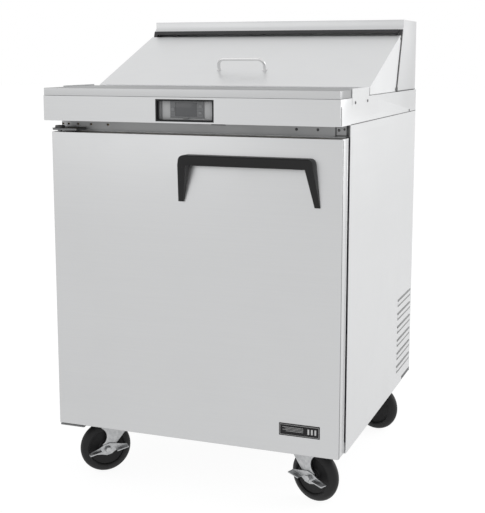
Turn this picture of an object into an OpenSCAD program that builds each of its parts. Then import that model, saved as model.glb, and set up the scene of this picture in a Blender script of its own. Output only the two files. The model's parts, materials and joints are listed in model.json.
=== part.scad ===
// Single-door sandwich prep table on four casters.
// X runs to the right, Y to the back, Z up; the floor is Z = 0 and the origin lies
// under the middle of the counter. The front faces -Y. Millimetres.

/* [Overall] */
// Width over the counter
overall_w = 698.5; // [640:0.5:800]
// Depth over the counter
overall_d = 762; // [720:1:900]
// Height of the worktop above the floor
counter_z = 920; // [880:1:1000]
// Height of the hood above the worktop
hood_h = 180; // [165:1:220]
// How far the worktop stands out over the cabinet front
front_overhang = 80.5; // [76:0.5:110]

/* [Cabinet] */
// Thickness of the steel sheet
sheet = 1.2; // [0.8:0.1:2]
// Thickness of the insulated walls
wall = 45; // [35:1:55]
// Height of the worktop band at the front and sides
band_h = 56; // [54:1:80]
// Height of the lower edge of the side panels
skirt_z = 134; // [132:1:150]
// Depth of the skirt below the base pan
skirt_drop = 24; // [22:1:30]
// Height of the machine compartment at the back
machine_h = 230; // [210:1:260]
// Depth of the machine compartment
machine_d = 190; // [180:1:220]

/* [Side louvres] */
// Number of louvres
louvre_n = 6; // [3:1:6]
// Pitch of the louvres
louvre_pitch = 34.4; // [30:0.1:36]
// Height of one louvre
louvre_h = 14; // [10:1:18]
// Length of one louvre
louvre_l = 150; // [100:1:160]

/* [Door] */
// Gap between the door and the worktop band
door_top_gap = 27; // [27:1:40]
// Gap between the side of the door and the side of the cabinet
door_side_gap = 2.25; // [2:0.25:6]
// Thickness of the door without its gasket
door_t = 39.2; // [35:0.1:50]
// Thickness of the door gasket
gasket_t = 11.6; // [8:0.1:14]
// Distance of the hinge pins from the edges of the door
hinge_in = 14; // [12:1:20]
// Radius of the hinge pins
hinge_pin_r = 5; // [4:0.5:6]

/* [Door handle] */
// Width of the door handle
handle_w = 327; // [200:1:340]
// Height of the door handle
handle_h = 105; // [80:1:130]
// How far the door handle stands out
handle_d = 29; // [24:1:40]
// Distance of the handle from the free edge of the door
handle_in = 47; // [30:1:120]
// Distance of the handle from the top of the door
handle_drop = 42; // [30:1:120]

/* [Lid] */
// Slope of the lid
lid_slope = 21.5; // [18:0.5:23]
// Lean of the back edge of the lid
lid_lean = 20.8; // [18:0.2:26]
// Height of the lid hinge above the worktop
lid_axis_h = 133; // [125:1:140]
// Distance of the lid hinge behind the middle of the counter
lid_axis_y = 190; // [180:1:200]
// Length of the lid in front of its hinge
lid_reach = 310; // [290:1:314]
// Thickness of the lid under its slope
lid_t = 22; // [16:1:26]
// Width of the wire handle on the lid
lid_handle_w = 128; // [80:1:180]

/* [Pans] */
// Width of one food pan
pan_w = 176; // [150:1:177]
// Depth of one food pan, front to back
pan_d = 162; // [140:1:163]
// Height of one food pan
pan_h = 100; // [60:1:105]

/* [Casters] */
// Wheel diameter
wheel_d = 125; // [100:1:127]
// Width of the tread
wheel_w = 32; // [25:1:34]
// Trail of the wheel behind its swivel
trail = 26; // [15:1:28]
// Distance of the front swivels from the middle
front_caster_x = 246; // [200:1:270]
// Distance of the rear swivels from the middle
rear_caster_x = 262; // [200:1:270]
// Distance of the front swivels behind the cabinet front
caster_in = 42; // [42:0.5:60]

/* [Hidden] */
$fn = 48;
eps = 0.01;
cut = 5;

// Outer planes
hw = overall_w / 2;
front_y = -overall_d / 2;
back_y = overall_d / 2;
band_z = counter_z - band_h;
cab_y0 = front_y + front_overhang;
cab_y1 = back_y - sheet - 1;
top_z = counter_z + hood_h;
base_z = skirt_z + skirt_drop;

// Inside of the cabinet
liner_t = 1.5;
in_x = hw - wall;
floor_z = base_z + wall;
ceil_z = band_z - wall;
in_y1 = cab_y1 - wall;
machine_y = cab_y1 - machine_d;
machine_z = base_z + machine_h;
step_y = machine_y - wall;
step_z = machine_z + wall;
mouth_low = floor_z - 13;
mouth_high = ceil_z - 7;

// Food pans and their opening in the worktop
pan_gap = 1.5;
pan_cols = 3;
pan_rows = 2;
ledge = 6;
well_x = pan_cols * (pan_w + pan_gap) / 2 + 3;
well_y0 = -110;
well_y1 = well_y0 + pan_rows * (pan_d + pan_gap) + 6;
rim_z = counter_z - 3;
bar_w = 8;
bar_h = 7;

// Lid section
rk = 7;
knuckle_n = 9;
tube_r = rk - sheet - 0.1;
lid_hw = hw - 4.25;
lid_az = counter_z + lid_axis_h;
lid_z0 = counter_z + 1;
nose_y = lid_axis_y - lid_reach;
lid_side_t = 15;
rod_r = 4;
arm_x = lid_hw - 25;
arm_t = 4;
arm_slot = 12;
lid_max = 100;

// Hood section
hood_hw = hw - 2.75;
hood_gap = 8;
hood_y1 = back_y - 3;
lip_h = 16.5;
lip_fold = 8;
lip_y = lid_axis_y + 28;
hood_foam = 18;

// Door planes
door_hw = hw - door_side_gap;
door_z0 = skirt_z + 2.5;
door_z1 = band_z - door_top_gap;
seal_gap = 0.4;
door_y1 = cab_y0 - seal_gap - gasket_t;
door_y0 = door_y1 - door_t;
pin_x = -door_hw + hinge_in;
pin_y = door_y0 + hinge_in;
pin_in = 14;
bracket_t = 4;

// Cutting board and the raised tabs beside it
board_t = 17;
board_seat = 0.3;
tab_y0 = cab_y0 + 10;
tab_y1 = nose_y - 22;
tab_h = 20;
slit_w = 1.5;
slit_z = counter_z - 15;
board_y0 = front_y + 1.5;
board_y1 = nose_y - 24;

// Control window in the worktop band
ctl_w = 137;
ctl_h = 48;
ctl_z = counter_z - 28.5;
ctl_rim = 3.5;
ctl_deep = 26;
module_w = 79;
module_h = 36.5;
module_z = ctl_z + ctl_h / 2 - ctl_rim - module_h / 2;
module_y = front_y + 7;
key_w = 7;
key_h = 6;
key_clear = 0.3;

// Casters
wheel_r = wheel_d / 2;
plate_t = 5;
race_h = 10;
race_r = 30;
crown_t = 6;
race_gap = 0.1;
crown_z = base_z - plate_t - race_h - race_gap - crown_t;
fork_t = 4;
fork_gap = 3;
axle_r = 5;
boss_r = 12;
king_r = 6;
run = 0.06;
caster_y0 = cab_y0 + caster_in;
caster_y1 = cab_y0 + 555.5;
swivel_fl = 222;
swivel_fr = -20;
swivel_rl = 205;
swivel_rr = -13;

// Machine compartment
tray_y0 = cab_y1 - 70;
tray_y1 = cab_y1 - 10;
coil_x = 245;
fan_x = coil_x - 42;
fan_z = base_z + 105;
fan_y = (machine_y + cab_y1) / 2;
fan_r = 72;
evap_z0 = 560;
evap_h = 190;
evap_w = 420;
evap_fan_r = 58;

STEEL = "gainsboro";
BRIGHT = "silver";
DARK = "dimgray";
BLACK = "#202224";
FOAM = "khaki";
PLASTIC = "whitesmoke";
BRASS = "peru";

// ---------- helpers ----------

// Box between two corners
module box(a, b) {
    translate(a) cube([b[0] - a[0], b[1] - a[1], b[2] - a[2]]);
}

// Rectangle with round corners, centred
module round_rect(w, h, r) {
    square([w - 2 * r, h], center = true);
    square([w, h - 2 * r], center = true);
    for (x = [-1, 1], y = [-1, 1])
        translate([x * (w / 2 - r), y * (h / 2 - r)]) circle(r = r);
}

// Extrude a section drawn in Y and Z along X, from x0 to x1
module along_x(x0, x1) {
    translate([x0, 0, 0]) rotate([90, 0, 90]) linear_extrude(x1 - x0) children();
}

// Round bar along X
module bar_x(x0, x1, y, z, r) {
    translate([x0, y, z]) rotate([0, 90, 0]) cylinder(r = r, h = x1 - x0);
}

// Round bar along Y
module bar_y(x, y0, y1, z, r) {
    translate([x, y0, z]) rotate([-90, 0, 0]) cylinder(r = r, h = y1 - y0);
}

// ---------- screws ----------

head_h = 1.5;
side_shank = 8;
side_shank_r = 1.8;
strip_shank = 6;
strip_t = 1.5;
strip_y = cab_y0 - strip_t;
strip_z = band_z - 12;

// Screws along the strip: x, z and radius of the head
strip_screws = [
    [-hw + 5, strip_z, 4], [-hw + 20, strip_z, 4], [-hw + 45, strip_z, 4],
    [-hw + 79, strip_z, 4], [-hw + 123, strip_z, 4], [hw - 120, strip_z, 3],
    [hw - 72, strip_z, 3], [hw - 25, strip_z, 3], [hw - 13, strip_z + 2, 2.4],
    [hw - 6, strip_z + 2, 2.4]
];

// Screws through both side bands: y and z
side_screws = [
    [tab_y0 + 27, counter_z - 10.5], [tab_y1 - 15, counter_z - 10.5], [back_y - 85, band_z + 4]
];

module strip_shanks() {
    for (p = strip_screws) bar_y(p[0], strip_y - eps, strip_y + strip_shank, p[1], p[2] * 0.55);
}

module side_shanks() {
    for (m = [0, 1], p = side_screws) mirror([m, 0, 0])
        bar_x(hw - side_shank, hw + eps, p[0], p[1], side_shank_r);
}

// ---------- cabinet ----------

louvre_y0 = machine_y + 25;
louvre_z0 = base_z + 28;

module side_sheet() {
    box([hw - sheet, cab_y0, skirt_z], [hw, cab_y1, band_z]);
    // hem turned in along the bottom
    box([hw - 14, cab_y0, skirt_z], [hw, cab_y1, skirt_z + sheet]);
}

module left_side_panel() {
    color(STEEL) mirror([1, 0, 0]) side_sheet();
}

module right_side_panel() {
    lip = 5;
    color(STEEL) {
        difference() {
            side_sheet();
            for (i = [0 : louvre_n - 1])
                translate([0, louvre_y0, louvre_z0 + i * louvre_pitch])
                    box([hw - sheet - cut, 0, 0], [hw + cut, louvre_l, louvre_h]);
            // relief beside the drain tray
            box([hw - 20, tray_y0 - 2, skirt_z - cut], [hw + cut, tray_y1 + 8, skirt_z + 10]);
        }
        // slats turned in from the top of each slot
        for (i = [0 : louvre_n - 1])
            translate([0, louvre_y0, louvre_z0 + i * louvre_pitch])
                louvre_slat(lip);
    }
}

// Slanted slat behind a louvre, in X and Z
module louvre_slat(lip) {
    translate([0, louvre_l, 0]) rotate([90, 0, 0]) linear_extrude(louvre_l)
        polygon([
            [hw, louvre_h], [hw - sheet, louvre_h + eps],
            [hw - sheet - lip, 2], [hw - lip, 2]
        ]);
}

module back_panel() {
    z0 = machine_z + 6;
    color(STEEL) box([-hw + sheet, cab_y1 - sheet, z0], [hw - sheet, cab_y1, band_z]);
}

module rear_grille() {
    slots = 9;
    pitch = 22;
    color(STEEL) difference() {
        box([-hw + 4, cab_y1 - sheet, base_z + sheet], [hw - 4, cab_y1, machine_z + 5]);
        for (i = [0 : slots - 1], x = [-200, 0, 200])
            box([x - 75, cab_y1 - cut, base_z + 25 + i * pitch],
                [x + 75, cab_y1 + cut, base_z + 33 + i * pitch]);
        translate([-300, cab_y1 - cut, base_z + 120])
            rotate([-90, 0, 0]) cylinder(r = 11.1, h = 2 * cut);
    }
}

module base_pan() {
    x = hw - sheet;
    color(BRIGHT) {
        box([-x, cab_y0 + sheet, base_z], [x, cab_y1 - sheet, base_z + sheet]);
        // flanges turned down at the front and back
        difference() {
            box([-x + 14, cab_y0, skirt_z + 0.5], [x - 14, cab_y0 + sheet, base_z + sheet]);
            // room for the forks to turn
            for (s = [-1, 1])
                box([s * front_caster_x - 30, cab_y0 - cut, skirt_z - cut],
                    [s * front_caster_x + 30, cab_y0 + cut, base_z - plate_t - race_h + 2]);
        }
        box([-x + 14, cab_y1 - 2 * sheet, skirt_z + 8], [x - 14, cab_y1 - sheet, base_z + sheet]);
    }
}

module front_frame() {
    x = hw - sheet;
    color(STEEL) difference() {
        box([-x, cab_y0, base_z + sheet], [x, cab_y0 + sheet, band_z]);
        box([-in_x + liner_t, cab_y0 - cut, mouth_low], [in_x - liner_t, cab_y0 + cut, mouth_high]);
        strip_shanks();
    }
}

// Room for the food, with a step over the machine compartment
module room(grow) {
    y0 = cab_y0 + sheet;
    box([-in_x - grow, y0, floor_z - grow], [in_x + grow, step_y + grow, ceil_z + grow]);
    box([-in_x - grow, y0, step_z - grow], [in_x + grow, in_y1 + grow, ceil_z + grow]);
}

module well_hole(grow, z0, z1) {
    box([-well_x - grow, well_y0 - grow, z0], [well_x + grow, well_y1 + grow, z1]);
}

module inner_liner() {
    y0 = cab_y0 + sheet;
    color(PLASTIC) difference() {
        room(0);
        // hollow
        box([-in_x + liner_t, y0 - cut, floor_z + liner_t],
            [in_x - liner_t, step_y - liner_t, ceil_z - liner_t]);
        box([-in_x + liner_t, y0 - cut, step_z + liner_t],
            [in_x - liner_t, in_y1 - liner_t, ceil_z - liner_t]);
        well_hole(sheet, ceil_z - cut, ceil_z + cut);
    }
}

module cabinet_foam() {
    x = hw - sheet;
    y0 = cab_y0 + sheet;
    color(FOAM) difference() {
        box([-x, y0, base_z + sheet], [x, cab_y1 - sheet, counter_z - sheet]);
        room(0);
        box([-x - cut, machine_y, base_z - cut], [x + cut, cab_y1 + cut, machine_z]);
        well_hole(sheet, ceil_z - cut, counter_z + cut);
        // channel behind the mouth of the liner
        box([-in_x, y0 - cut, mouth_low - 2], [in_x, y0 + 3, floor_z]);
        box([-in_x, y0 - cut, ceil_z], [in_x, y0 + 3, mouth_high + 14]);
        // the side tabs and the brackets of the board go down beside the foam
        for (s = [-1, 1])
            translate([s * (x - 4), (tab_y0 + tab_y1) / 2, counter_z - 10])
                cube([12, tab_y1 - tab_y0 + 4, 40], center = true);
        strip_shanks();
        side_shanks();
    }
}

module front_strip() {
    color(DARK) difference() {
        box([-hw + 1, strip_y, door_z1 + 1], [hw - 1, cab_y0, band_z - 0.3]);
        strip_shanks();
    }
}

module cabinet_screws() {
    color(DARK) {
        strip_shanks();
        for (p = strip_screws) bar_y(p[0], strip_y - head_h, strip_y, p[1], p[2]);
        side_shanks();
        for (m = [0, 1], p = side_screws) mirror([m, 0, 0])
            bar_x(hw, hw + head_h, p[0], p[1], 3.4);
    }
}

module hinge_brackets() {
    x0 = -hw + 3;
    x1 = x0 + 62;
    leg = 3;
    color(BRIGHT) {
        // top
        zt = door_z1 + 3;
        box([x0, door_y0 + 4, zt], [x1, strip_y, zt + bracket_t]);
        box([x0, strip_y - leg, zt], [x1, strip_y, zt + 6]);
        translate([pin_x, pin_y, door_z1 - pin_in])
            cylinder(r = hinge_pin_r, h = pin_in + 3 + bracket_t);
        translate([pin_x, pin_y, zt + bracket_t]) cylinder(r = hinge_pin_r + 3, h = 5);
        // bottom
        zb = door_z0 - 2 - bracket_t;
        box([x0, door_y0 + 4, zb], [x1, cab_y0, zb + bracket_t]);
        box([x0 + 13, cab_y0 - leg, zb], [x1, cab_y0, zb + 14]);
        translate([pin_x, pin_y, zb]) cylinder(r = hinge_pin_r, h = bracket_t + 2 + pin_in);
    }
}

// ---------- worktop ----------

module counter_top() {
    s = sheet;
    color(STEEL) difference() {
        union() {
            // top sheet
            box([-hw, front_y, counter_z - s], [hw, back_y, counter_z]);
            // front, back and side bands
            box([-hw, front_y, band_z], [hw, front_y + s, counter_z]);
            box([-hw, back_y - s, band_z], [hw, back_y, counter_z]);
            for (m = [0, 1]) mirror([m, 0, 0]) {
                box([hw - s, front_y, band_z], [hw, back_y, counter_z]);
                box([hw - s, tab_y0, counter_z - s], [hw, tab_y1, counter_z + tab_h]);
            }
            // hem under the front band
            box([-hw, front_y, band_z], [hw, front_y + 24, band_z + s]);
        }
        well_hole(0, counter_z - cut, counter_z + cut);
        // control window
        box([-ctl_w / 2 - 0.2, front_y - cut, ctl_z - ctl_h / 2 - 0.2],
            [ctl_w / 2 + 0.2, front_y + cut, ctl_z + ctl_h / 2 + 0.2]);
        // slit in front of each raised tab
        for (m = [0, 1]) mirror([m, 0, 0])
            box([hw - s - cut, tab_y0 - slit_w, slit_z], [hw + cut, tab_y0, counter_z + cut]);
        side_shanks();
    }
}

module board_brackets() {
    inside = hw - sheet;
    color(BRIGHT) difference() {
        for (m = [0, 1]) mirror([m, 0, 0])
            box([inside - 3, tab_y0 + 4, counter_z - 18], [inside, tab_y1 - 2, counter_z - sheet]);
        side_shanks();
    }
}

module cutting_board() {
    z0 = counter_z + board_seat;
    narrow = hw - sheet - 1;
    color(STEEL) {
        box([-hw + 1.5, board_y0, z0], [hw - 1.5, tab_y0 - 2.5, z0 + board_t]);
        box([-narrow, board_y0, z0], [narrow, board_y1, z0 + board_t]);
    }
}

module pan_well() {
    color(BRIGHT) {
        difference() {
            well_hole(sheet, ceil_z - liner_t, counter_z - sheet);
            well_hole(0, ceil_z - cut - liner_t, counter_z + cut);
        }
        // ledge that carries the pans
        difference() {
            well_hole(0, rim_z - sheet, rim_z);
            well_hole(-ledge, rim_z - cut, rim_z + cut);
        }
    }
}

pan_px = pan_w + pan_gap;
pan_py = pan_d + pan_gap;
well_mid = (well_y0 + well_y1) / 2;

module divider_bars() {
    x = well_x - ledge;
    y = (well_y1 - well_y0) / 2 - ledge;
    color(BRIGHT) translate([0, well_mid, rim_z - bar_h]) {
        box([-x, -bar_w / 2, 0], [x, bar_w / 2, bar_h]);
        for (i = [1 : pan_cols - 1])
            translate([(i - pan_cols / 2) * pan_px, 0, 0])
                box([-bar_w / 2, -y, 0], [bar_w / 2, y, bar_h]);
    }
}

module food_pan() {
    t = 1;
    rim = 7;
    w = pan_w - 2 * rim;
    d = pan_d - 2 * rim;
    translate([0, 0, sheet]) difference() {
        union() {
            translate([0, 0, -sheet]) linear_extrude(sheet) round_rect(pan_w, pan_d, 10);
            translate([0, 0, -pan_h]) linear_extrude(pan_h) round_rect(w, d, 16);
        }
        translate([0, 0, -pan_h + t]) linear_extrude(pan_h + cut)
            round_rect(w - 2 * t, d - 2 * t, 15);
    }
}

module food_pans() {
    color(BRIGHT) for (i = [0 : pan_cols - 1], j = [0 : pan_rows - 1])
        translate([(i - (pan_cols - 1) / 2) * pan_px,
                   well_mid + (j - (pan_rows - 1) / 2) * pan_py, rim_z])
            food_pan();
}

// ---------- hood and lid ----------

// Height of the slope of the lid at y, moved in by i
function slope_z(y, i) =
    lid_az + (rk - i) / cos(lid_slope) + (y - lid_axis_y) * tan(lid_slope);

// Place of the back edge of the lid at z, moved in by i
function lean_y(z, i) =
    lid_axis_y + (rk - i) / cos(lid_lean) + (z - lid_az) * tan(lid_lean);

// Nose of the lid and its round back edge, from the slope down to angle a1
function lid_outline(i, z0, a1) = concat(
    [[nose_y + i, z0], [nose_y + i, slope_z(nose_y + i, i)]],
    [for (k = [0 : knuckle_n]) let (a = 90 + lid_slope - k * (90 + lid_slope - a1) / knuckle_n)
        [lid_axis_y + (rk - i) * cos(a), lid_az + (rk - i) * sin(a)]]
);

// Section of the lid moved in by i, in Y and Z
module lid_section(i, z0) {
    polygon(concat(lid_outline(i, z0, -lid_lean), [[lean_y(z0, i), z0]]));
}

// Everything under the sheet of the lid, open at the bottom and the back
module lid_inside(i) {
    back = lid_axis_y + rk + cut;
    polygon(concat(lid_outline(i, lid_z0 - cut, 0), [[back, lid_az], [back, lid_z0 - cut]]));
}

module lid_skin() {
    color(STEEL) difference() {
        along_x(-lid_hw, lid_hw) lid_section(0, lid_z0);
        along_x(-lid_hw + sheet, lid_hw - sheet) lid_inside(sheet);
        // clearance for the hinge arms
        for (s = [-1, 1])
            box([s * arm_x - arm_slot / 2, lid_axis_y - rk * sin(lid_slope), lid_az - 3 * rk],
                [s * arm_x + arm_slot / 2, lid_axis_y + 2 * rk, lid_az + 2 * rk]);
        bar_x(-lid_hw - cut, lid_hw + cut, lid_axis_y, lid_az, rod_r + run);
    }
}

// Hollow under the lid, open at the bottom and the back
module lid_hollow(i, x) {
    along_x(-x, x) polygon([
        [lid_axis_y - (lid_axis_h + (rk - i) / cos(lid_slope) + cut) / tan(lid_slope),
         counter_z - cut],
        [lid_axis_y - 14, slope_z(lid_axis_y - 14, i)],
        [lid_axis_y - 14, lid_az - 10],
        [lid_axis_y + 3 * rk, lid_az - 10],
        [lid_axis_y + 3 * rk, counter_z - cut]
    ]);
}

module lid_core(i, x) {
    difference() {
        along_x(-x, x) lid_section(i, lid_z0 + 1);
        // the tube and the arms of the hinge
        bar_x(-x - cut, x + cut, lid_axis_y, lid_az, rk - sheet + 0.2);
        for (s = [-1, 1])
            box([s * arm_x - arm_slot / 2, lid_axis_y - 20, lid_az - 60],
                [s * arm_x + arm_slot / 2, lid_axis_y + 2 * rk, lid_az + 2 * rk]);
    }
}

module lid_foam() {
    color(FOAM) difference() {
        lid_core(sheet, lid_hw - sheet);
        lid_hollow(lid_t, lid_hw - lid_side_t);
    }
}

module lid_liner() {
    t = 1;
    color(PLASTIC) difference() {
        intersection() {
            lid_core(sheet, lid_hw - sheet - 2);
            lid_hollow(lid_t, lid_hw - lid_side_t);
        }
        lid_hollow(lid_t + t, lid_hw - lid_side_t - t);
    }
}

module lid_tube() {
    a = arm_x - arm_slot / 2;
    b = arm_x + arm_slot / 2;
    e = lid_hw - sheet;
    color(BRIGHT) difference() {
        for (span = [[-e, -b], [-a, a], [b, e]])
            bar_x(span[0], span[1], lid_axis_y, lid_az, tube_r);
        bar_x(-lid_hw - cut, lid_hw + cut, lid_axis_y, lid_az, rod_r + run);
    }
}

lid_handle_y = -28;

module lid_handle() {
    r = 4;
    h = 28;
    w = lid_handle_w - 2 * r;
    bend = 16;
    color(BRIGHT)
        translate([0, lid_handle_y, slope_z(lid_handle_y, 0)]) rotate([lid_slope, 0, 0]) {
            // bar, two bends and two legs
            bar_x(-w / 2 + bend, w / 2 - bend, 0, h, r);
            for (m = [0, 1]) mirror([m, 0, 0]) {
                translate([w / 2 - bend, 0, h - bend]) rotate([90, 0, 0])
                    rotate_extrude(angle = 90) translate([bend, 0]) circle(r = r);
                translate([w / 2, 0, 0]) cylinder(r = r, h = h - bend);
                translate([w / 2, 0, 0]) cylinder(r = r + 2.5, h = 2);
            }
        }
}

// Front edge of the hood sides at z
function hood_y(z) = lean_y(z, 0) + hood_gap / cos(lid_lean);

fold_z = top_z - lip_h - lip_fold;

module hood_section() {
    polygon([
        [hood_y(counter_z), counter_z],
        [hood_y(fold_z), fold_z],
        [lip_y - lip_fold, fold_z],
        [lip_y, fold_z + lip_fold],
        [lip_y, top_z],
        [hood_y1, top_z],
        [hood_y1, counter_z]
    ]);
}

module hood_shell() {
    t = sheet;
    color(STEEL) difference() {
        along_x(-hood_hw, hood_hw) hood_section();
        along_x(-hood_hw + t, hood_hw - t) polygon([
            [lid_axis_y - 100, counter_z - cut],
            [lid_axis_y - 100, fold_z],
            [lip_y - lip_fold + t * sqrt(2), fold_z],
            [lip_y + t, fold_z + lip_fold - t * tan(22.5)],
            [lip_y + t, top_z - t],
            [hood_y1 - t, top_z - t],
            [hood_y1 - t, counter_z - cut]
        ]);
    }
}

module hood_insulation() {
    t = sheet;
    x = hood_hw - t;
    y1 = hood_y1 - t;
    z1 = top_z - t;
    color(FOAM) {
        box([-x, lip_y + t, z1 - hood_foam], [x, y1, z1]);
        box([-x, y1 - hood_foam, counter_z], [x, y1, z1]);
    }
}

module hood_gasket() {
    g = hood_gap - 0.6;
    z0 = counter_z + 1.5;
    w = 10;
    color(BLACK) {
        // side strips in front of the hood sides
        for (m = [0, 1]) mirror([m, 0, 0])
            along_x(hood_hw - w, hood_hw) polygon([
                [hood_y(z0) - g / cos(lid_lean), z0],
                [hood_y(z0), z0],
                [hood_y(fold_z), fold_z],
                [hood_y(fold_z) - g / cos(lid_lean), fold_z]
            ]);
        // cross strip under the lip
        box([-hood_hw + w, lid_axis_y + 8, fold_z - 9], [hood_hw - w, lip_y - lip_fold, fold_z]);
    }
}

module lid_hinge() {
    down = 30;
    back = hood_y1 - sheet - hood_foam;
    len = (back - lid_axis_y) / cos(down);
    r = 3.4;
    color(DARK) {
        for (s = [-1, 1])
            translate([s * arm_x - arm_t / 2, 0, 0]) difference() {
                along_x(0, arm_t) union() {
                    translate([lid_axis_y, lid_az]) circle(r = rod_r + 1.4);
                    translate([lid_axis_y, lid_az]) rotate(-down)
                        translate([0, -r]) square([len + 4, 2 * r]);
                    polygon([
                        [lid_axis_y + 40, lid_az - 40 * tan(down)],
                        [back, lid_az - (back - lid_axis_y) * tan(down) + 3],
                        [back, lid_az - (back - lid_axis_y) * tan(down) - 30],
                        [lid_axis_y + 60, lid_az - 60 * tan(down) - 8]
                    ]);
                }
                bar_x(-cut, arm_t + cut, lid_axis_y, lid_az, rod_r);
                box([-cut, back, 0], [arm_t + cut, back + 50, top_z]);
            }
    }
    color(BRIGHT) bar_x(-lid_hw + 2, lid_hw - 2, lid_axis_y, lid_az, rod_r);
}

// ---------- cold side and machine side ----------

evap_y = in_y1 - liner_t;
evap_t = 1.5;

module evaporator_coil() {
    tubes = 6;
    fins = 15;
    w = evap_w - 50;
    color(BRIGHT) {
        for (i = [0 : fins - 1])
            translate([-w / 2 + i * w / (fins - 1), evap_y - 30, evap_z0 + evap_h / 2])
                cube([1, 44, evap_h - 40], center = true);
    }
    color(BRASS) for (i = [0 : tubes - 1])
        bar_x(-evap_w / 2 + evap_t, evap_w / 2 - evap_t, evap_y - 30,
            evap_z0 + 35 + i * (evap_h - 70) / (tubes - 1), 5);
}

module evaporator_cover() {
    t = evap_t;
    y0 = evap_y - 84;
    color(PLASTIC) difference() {
        box([-evap_w / 2, y0, evap_z0], [evap_w / 2, evap_y, evap_z0 + evap_h]);
        box([-evap_w / 2 + t, y0 + t, evap_z0 + t],
            [evap_w / 2 - t, evap_y + cut, evap_z0 + evap_h - t]);
        // air outlet in front of the fan
        bar_y(0, y0 - cut, y0 + cut, evap_z0 + evap_h / 2, evap_fan_r + 3);
        // air intakes along the sides
        for (s = [-1, 1], i = [0 : 5])
            translate([s * 140, y0, evap_z0 + 30 + i * 25]) cube([80, 2 * cut, 8], center = true);
    }
}

module evaporator_motor() {
    z = evap_z0 + evap_h / 2;
    color(DARK) {
        bar_y(0, evap_y - 74, evap_y - 54, z, 18);
        bar_y(0, evap_y - 81, evap_y - 73, z, 3);
        // bracket to the coil side
        box([-evap_w / 2 + evap_t, evap_y - 58, z - 8], [evap_w / 2 - evap_t, evap_y - 54, z + 8]);
    }
}

// Axial fan blades around an axis along Z
module blades(r, n, hub_r, h, bore) {
    difference() {
        union() {
            cylinder(r = hub_r, h = h);
            for (i = [0 : n - 1]) rotate(i * 360 / n)
                translate([hub_r - 2, 0, h / 2]) rotate([32, 0, 0])
                    translate([0, -h * 0.9, -0.75]) cube([r - hub_r, h * 1.8, 1.5]);
        }
        translate([0, 0, -cut]) cylinder(r = bore, h = h + 2 * cut);
    }
}

module evaporator_fan() {
    color(BLACK) translate([0, evap_y - 75.5, evap_z0 + evap_h / 2])
        rotate([90, 0, 0]) blades(evap_fan_r - 4, 5, 12, 5, 3.08);
}

module compressor() {
    x = -175;
    color(BLACK) {
        translate([x, fan_y, base_z + sheet + 18]) {
            cylinder(r = 72, h = 120);
            translate([0, 0, 120]) cylinder(r1 = 72, r2 = 40, h = 22);
        }
        // feet
        for (sx = [-1, 1], sy = [-1, 1])
            translate([x + sx * 58, fan_y + sy * 50, base_z + sheet]) cylinder(r = 12, h = 18);
        translate([x + 50, fan_y - 25, base_z + 60]) cube([40, 50, 50]);
    }
}

module condenser_coil() {
    fins = 13;
    tubes = 6;
    y0 = machine_y + 14;
    y1 = cab_y1 - 16;
    z0 = base_z + sheet;
    h = 190;
    color(BRIGHT) for (i = [0 : fins - 1])
        box([coil_x, y0 + 4 + i * (y1 - y0 - 9) / (fins - 1), z0],
            [coil_x + 44, y0 + 5 + i * (y1 - y0 - 9) / (fins - 1), z0 + h]);
    color(BRASS) for (i = [0 : tubes - 1])
        bar_y(coil_x + 22, y0, y1, z0 + 18 + i * (h - 36) / (tubes - 1), 5);
}

module condenser_motor() {
    y0 = machine_y + 20;
    y1 = cab_y1 - 22;
    color(DARK) {
        bar_x(fan_x - 52, fan_x - 14, fan_y, fan_z, 26);
        bar_x(fan_x - 15, fan_x + 8, fan_y, fan_z, 3);
        // bracket on the base
        box([fan_x - 40, fan_y - 20, base_z + sheet], [fan_x - 28, fan_y + 20, fan_z - 20]);
        // shroud with its opening round the fan
        difference() {
            box([fan_x + 12, y0, base_z + sheet], [fan_x + 14, y1, base_z + 190]);
            bar_x(fan_x, fan_x + 20, fan_y, fan_z, fan_r - 2);
        }
    }
}

module condenser_fan() {
    color(BLACK) translate([fan_x - 8, fan_y, fan_z])
        rotate([0, 90, 0]) blades(fan_r - 8, 5, 14, 8, 3.08);
}

module drain_tray() {
    t = 2;
    x0 = -hw + 112;
    x1 = hw - 2.5;
    color(BLACK) difference() {
        box([x0, tray_y0, skirt_z + 1], [x1, tray_y1, base_z]);
        box([x0 + t, tray_y0 + t, skirt_z + 1 + t], [x1 - t, tray_y1 - t, base_z + cut]);
    }
}

module cord_inlet() {
    color(BLACK) translate([-300, cab_y1, base_z + 120]) rotate([-90, 0, 0]) difference() {
        union() {
            translate([0, 0, -8]) cylinder(r = 11, h = 8 + eps);
            cylinder(r = 15, h = 1.9);
        }
        translate([0, 0, -cut - 8]) cylinder(r = 5, h = 30);
    }
}

shelf_z = 500;
wire = 2.6;
shelf_hx = in_x - liner_t - 6;
shelf_y0 = cab_y0 + 40;
shelf_y1 = shelf_y0 + 440;
clip_y = [shelf_y0 + 30, step_y - liner_t - 24];
rod_z = shelf_z - 4;
cross_r = wire + 0.6;

module shelf() {
    n = 22;
    color(PLASTIC) {
        for (i = [0 : n]) translate([-shelf_hx + wire + i * 2 * (shelf_hx - wire) / n, 0, shelf_z])
            translate([0, shelf_y0, 0]) rotate([-90, 0, 0])
                cylinder(r = wire, h = shelf_y1 - shelf_y0, $fn = 8);
        for (y = concat([shelf_y0 + 4, shelf_y1 - 4], clip_y))
            translate([-shelf_hx, y, rod_z]) rotate([0, 90, 0])
                cylinder(r = cross_r, h = 2 * shelf_hx, $fn = 8);
    }
}

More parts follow.
